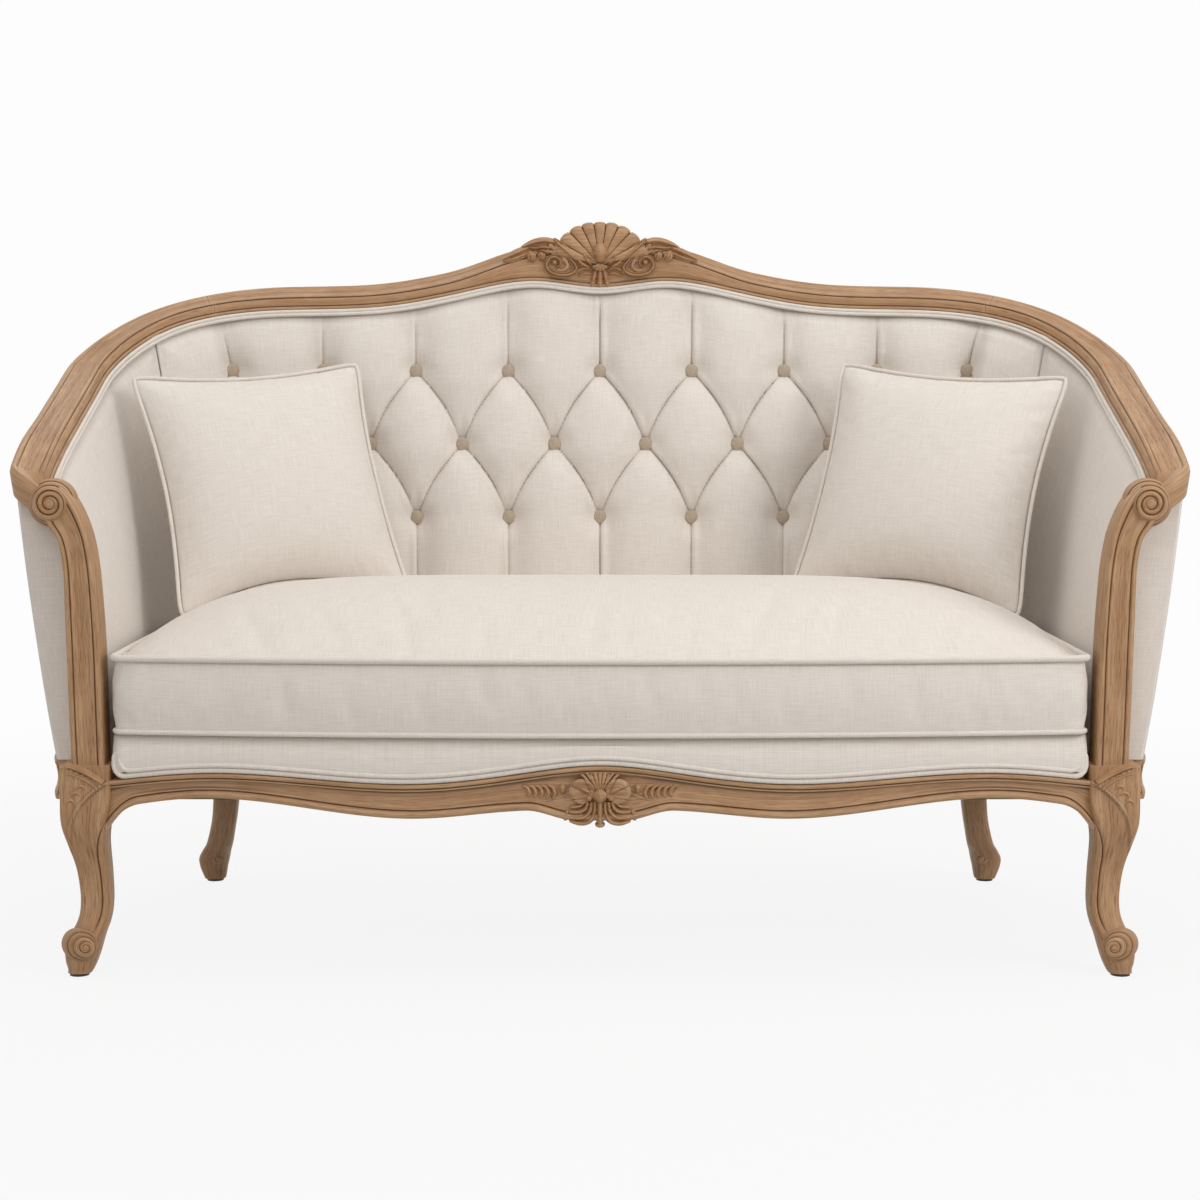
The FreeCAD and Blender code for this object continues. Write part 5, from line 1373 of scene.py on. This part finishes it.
border = skin(160, len(BORDER_PROFILE), border_shape, lids=True)
upholstered("front_border_cover", border, "front_border", sharp=60)
border_cords = []
LOWER_BEND, UPPER_BEND = 16, 9
for outset, inward, radius in ((0, 4.4, 3.6), (7.4, 2.6, 3.2)):
    end = BORDER_HALF - outset - 2
    x = np.linspace(LOWER_BEND - end, end - LOWER_BEND, 220)
    x = x[x > 0]
    turn = np.radians(np.linspace(0, 82, 12))
    corner_x = end - LOWER_BEND * (1 - np.sin(turn))
    over = np.radians(np.linspace(10, 90, 9))
    over_x = end - UPPER_BEND * (1 - np.cos(over))
    high = 32.5 - 1.6 * outset
    bend = high - UPPER_BEND
    # Each end turns up beside the post, then in along the top, and dives into the border
    right = np.concatenate([x, corner_x, np.full(4, end), over_x, end - UPPER_BEND - np.linspace(3, 15, 5)])
    lift = [0 * x, LOWER_BEND * (1 - np.cos(turn)), np.linspace(15, bend, 4), bend + UPPER_BEND * np.sin(over)]
    lift = np.concatenate(lift + [np.full(5, high)])
    dive = np.concatenate([np.zeros(len(right) - 5), np.linspace(0.4, 9, 5)])
    line_x = np.concatenate([-right[::-1], right])
    rise = np.concatenate([lift[::-1], lift])
    inwards = inward + 5.5 * rise / 32 + np.concatenate([dive[::-1], dive])
    z = front_top(np.minimum(np.abs(line_x), end - 8)) + 4.2 + outset * 0.9 + rise
    border_cords.append(cord(stacked(line_x, front_face(line_x) + inwards, z), radius, up=(0, 1, 0)))
piece("border_double_welt", gather(border_cords), welt_cloth, ["border_welt"])

DUST_REACH = BACK_LENGTH + CORNER_LENGTH + CORNER_Y - (POST_LINE + 38)


def dust_edge(s):
    return place(s, seat_inset(s) + 14 + 30 * tuck(s), SEAT_BOTTOM - 1.0)


def dust_shape(u, v):
    edge = dust_edge(DUST_REACH * (2 * u - 1))
    end = dust_edge(np.array(DUST_REACH))
    near = stacked(end[0] * (2 * u - 1), end[1], end[2])
    return near + (edge - near) * v[:, None]


dust_bm = skin(80, 24, dust_shape)
dust_area = sum(f.calc_area() for f in dust_bm.faces)
dust = piece("dust_cover_cloth", dust_bm, felt, ["dust_cover"])

# Loose seat cushion: boxed cover, stuffed until it swells between its sewn seams

CUSHION_LOW = DECK_TOP + 0.6
CUSHION_SEAM = CUSHION_LOW + 97.4
CUSHION_INSET, CUSHION_CORNER, CUSHION_CROWN = 118, 16, 84
STUFFING_FRAMES = 20


def swollen(made, held, pressure, cap, shrink):
    """Stuffs a cover: pressure from inside with its seams held; no point goes further than the cap."""
    made.vertex_groups.new(name="sewn").add(held, 1.0, "REPLACE")
    cloth = made.modifiers.new("stuffing", "CLOTH")
    cloth.settings.vertex_group_mass = "sewn"
    cloth.settings.quality = 6
    cloth.settings.mass = 0.3
    cloth.settings.tension_stiffness = cloth.settings.compression_stiffness = 18
    cloth.settings.bending_stiffness = 0.8
    cloth.settings.use_pressure = True
    cloth.settings.uniform_pressure_force = pressure
    cloth.settings.shrink_min = shrink
    cloth.settings.effector_weights.gravity = 0
    cloth.point_cache.frame_start, cloth.point_cache.frame_end = 1, STUFFING_FRAMES
    before = points_of(made.data)
    for number in range(1, STUFFING_FRAMES + 1):
        scene.frame_set(number)
    move = points_of(made.evaluated_get(bpy.context.evaluated_depsgraph_get()).to_mesh()) - before
    made.modifiers.remove(cloth)
    scene.frame_set(1)
    length = np.linalg.norm(move, axis=1)
    move *= np.minimum(1, cap * MM / np.maximum(length, 1e-9))[:, None]
    made.data.vertices.foreach_set("co", (before + move).ravel())
    made.data.update()


def crown(x, v):
    return CUSHION_SEAM + CUSHION_CROWN * (1 - np.abs(x) ** 6) * (1 - np.abs(2 * v - 1) ** 2.4)


def cushion_front(x):
    return front_face(x) + 4


cushion_bm = boxed(
    panel(CUSHION_INSET, cushion_front, crown, CUSHION_CORNER, 120, 56),
    panel(CUSHION_INSET, cushion_front, lambda x, v: CUSHION_LOW + 0 * v, CUSHION_CORNER, 120, 56),
    7, 3.0,
)
cushion = piece(
    "seat_cushion_stuffed", cushion_bm, oatmeal, ["seat_cushion_cover", "seat_cushion_core"],
    body="seat_cushion", sharp=70,
)
seam_verts = [
    v.index for v in cushion.data.vertices
    if min(abs(v.co.z - seam * MM) for seam in (CUSHION_LOW, CUSHION_SEAM)) < 1e-5
]
swollen(cushion, seam_verts, pressure=4.0, cap=5, shrink=-0.01)
rounded(cushion)


def cushion_line(outset, height):
    """Closed line round the cushion."""
    inset, bend = CUSHION_INSET - outset, CUSHION_CORNER
    near, far = CORNER_RADIUS - inset, BACK_RADIUS - inset
    end = CORNER_X + near
    x = np.linspace(0, end - bend, 70)
    foot = cushion_front(end - bend) - outset
    turn = np.radians(np.linspace(-80, 0, 10))
    back_turn = np.linspace(0, math.pi / 2 - BACK_ANGLE, 36)[1:]
    sweep = np.linspace(BACK_ANGLE, 0, 50)[1:-1]
    # Front, front corner, side, back corner and back of the right half
    runs = [
        (x, cushion_front(x) - outset),
        (end - bend + bend * np.cos(turn), foot + bend + bend * np.sin(turn)),
        (np.full(30, end), np.linspace(foot + 20, CORNER_Y, 30)),
        (CORNER_X + near * np.cos(back_turn), CORNER_Y + near * np.sin(back_turn)),
        (far * np.sin(sweep), BACK_LINE - BACK_RADIUS + far * np.cos(sweep)),
    ]
    right_x, right_y = (np.concatenate(part) for part in zip(*runs))
    line_x = np.concatenate([right_x, [0], -right_x[:0:-1]])
    line_y = np.concatenate([right_y, [BACK_LINE - inset], right_y[:0:-1]])
    return stacked(line_x, line_y, np.full(len(line_x), height))


upper = cord(cushion_line(2.4, CUSHION_SEAM + 2.6), 4.4, closed=True)
lower = cord(cushion_line(0.6, CUSHION_LOW + 3.6), 3.6, closed=True)
piece(
    "cushion_piping_cord", gather([upper, lower]), welt_cloth, ["seat_cushion_piping"],
    body="seat_cushion",
)

ZIP_PROFILE = [
    (0, -11), (1.2, -11), (1.4, -3.2), (2.2, -2.6), (3.0, -1.4), (3.2, 0), (3.0, 1.4), (2.2, 2.6), (1.4, 3.2),
    (1.2, 11), (0, 11),
]


def zip_shape(u, v):
    s = 0.72 * BACK_LENGTH * (2 * u - 1)
    out, up = round_profile(ZIP_PROFILE, v)
    return place(s, CUSHION_INSET - 3.2 - out, (CUSHION_LOW + CUSHION_SEAM) / 2 + up)


zip_bm = skin(160, len(ZIP_PROFILE), zip_shape, lids=True)
piece("cushion_zip_tape", zip_bm, tape, ["cushion_zip"], body="seat_cushion")

# Scatter pillows: two square panels sewn round, stuffed, then set leaning in the corners

PILLOW_HALF = 178.0
PILLOW_DRAW = 17.0
PILLOW_LOFT = 60.0
PILLOW_CELLS = 56
# Pillows stand a little off the middle of the part's pillows
PILLOW_SHIFT = (3, 9, 0)
# How far in metres a pillow's edge settles down or up on to the cushion, and the cord between them
SETTLE_DOWN, SETTLE_UP, SETTLE_GAP = 0.016, 0.012, 0.0034
PILLOW_TURN, PILLOW_LEAN, PILLOW_TILT = -27, 66, -4


def pillow_seam(p, q):
    """Place in the sewn square, its sides drawn in and its corners rounded; p and q run from -1 to 1."""
    x = PILLOW_HALF * p - PILLOW_DRAW * np.sign(p) * np.abs(p) ** 4 * (1 - q**2)
    y = PILLOW_HALF * q - PILLOW_DRAW * np.sign(q) * np.abs(q) ** 4 * (1 - p**2)
    corner = 1 - 0.035 * np.abs(p * q) ** 12
    return x * corner, y * corner


def pillow_panel(face):
    def shape(u, v):
        p, q = 2 * u - 1, 2 * v - 1
        x, y = pillow_seam(p, q)
        z = face * PILLOW_LOFT * np.clip((1 - p**2) * (1 - q**2), 0, 1) ** 0.62
        return stacked(x, y, z)

    return skin(PILLOW_CELLS, PILLOW_CELLS, shape)


def pillow_outline():
    run = np.linspace(-1, 1, PILLOW_CELLS + 1)[:-1]
    ones = np.ones(PILLOW_CELLS)
    p = np.concatenate([run, ones, -run, -ones])
    q = np.concatenate([-ones, run, ones, -run])
    x, y = pillow_seam(p, q)
    return stacked(x * 1.012, y * 1.012, 0 * x)


def cushion_top(x, y):
    near = cushion_front(x)
    share = np.clip((y - near) / (cushion_back(x, CUSHION_INSET) - near), 0, 1)
    return crown(x / (CORNER_X + CORNER_RADIUS - CUSHION_INSET), share)


def settle(verts, turn):
    """Lets the lower part of a pillow down on the cushion's crown, along its whole edge."""
    back = turn.inverted()
    for vert in verts:
        local = back @ vert.co
        weight = float(smooth(0.0, 1.0, -local.y / (PILLOW_HALF * MM)))
        if weight:
            foot = turn @ Vector((local.x, -(PILLOW_HALF - PILLOW_DRAW * 0.7) * MM, 0))
            gap = foot.z - SETTLE_GAP - float(cushion_top(foot.x / MM, foot.y / MM)) * MM
            vert.co.z -= weight * min(SETTLE_DOWN, max(-SETTLE_UP, gap))


low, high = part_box("pillow_cover_right")
pillow_middle = [(low[k] + high[k]) / 2 / MM + PILLOW_SHIFT[k] for k in range(3)]
for side, name in SIDES:
    turn = Matrix.Translation([c * MM for c in pillow_middle])
    for degrees, axis in ((PILLOW_TURN, "Z"), (PILLOW_LEAN, "X"), (PILLOW_TILT, "Z")):
        turn = turn @ Matrix.Rotation(math.radians(degrees), 4, axis)
    flip = Matrix.Diagonal((side, 1, 1, 1))
    cover = gather([pillow_panel(1), pillow_panel(-1)])
    bmesh.ops.remove_doubles(cover, verts=cover.verts, dist=1e-5)
    body = f"pillow_{name}"
    pillow = piece(
        f"{body}_stuffed", cover, oatmeal, [f"pillow_cover_{name}", f"pillow_insert_{name}"],
        body=body, sharp=80,
    )
    held = [v.index for v in pillow.data.vertices if abs(v.co.z) < 1e-6]
    swollen(pillow, held, pressure=9.0, cap=12, shrink=-0.004 - 0.006 * (side > 0))
    pillow.data.transform(turn)
    settle(pillow.data.vertices, turn)
    pillow.data.transform(flip)
    if side < 0:
        pillow.data.flip_normals()
    rounded(pillow)
    edge = cord(pillow_outline(), 3.0, closed=True)
    bmesh.ops.transform(edge, matrix=turn, verts=edge.verts)
    settle(edge.verts, turn)
    bmesh.ops.transform(edge, matrix=flip, verts=edge.verts)
    piece(f"{body}_piping_cord", edge, welt_cloth, [f"pillow_piping_{name}"], body=body)

# Hidden frame and small fittings keep their shape and get their finish

finishes = {
    "frame_tenons": beech, "spring_rail": beech, "corner_blocks": beech, "back_stile_left": beech,
    "back_stile_middle": beech, "back_stile_right": beech, "foot_glides": polythene,
    "seat_webbing": jute, "back_webbing": jute,
}
for node_name, finish in finishes.items():
    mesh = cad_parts[node_name].data
    mesh.materials.clear()
    mesh.materials.append(finish)
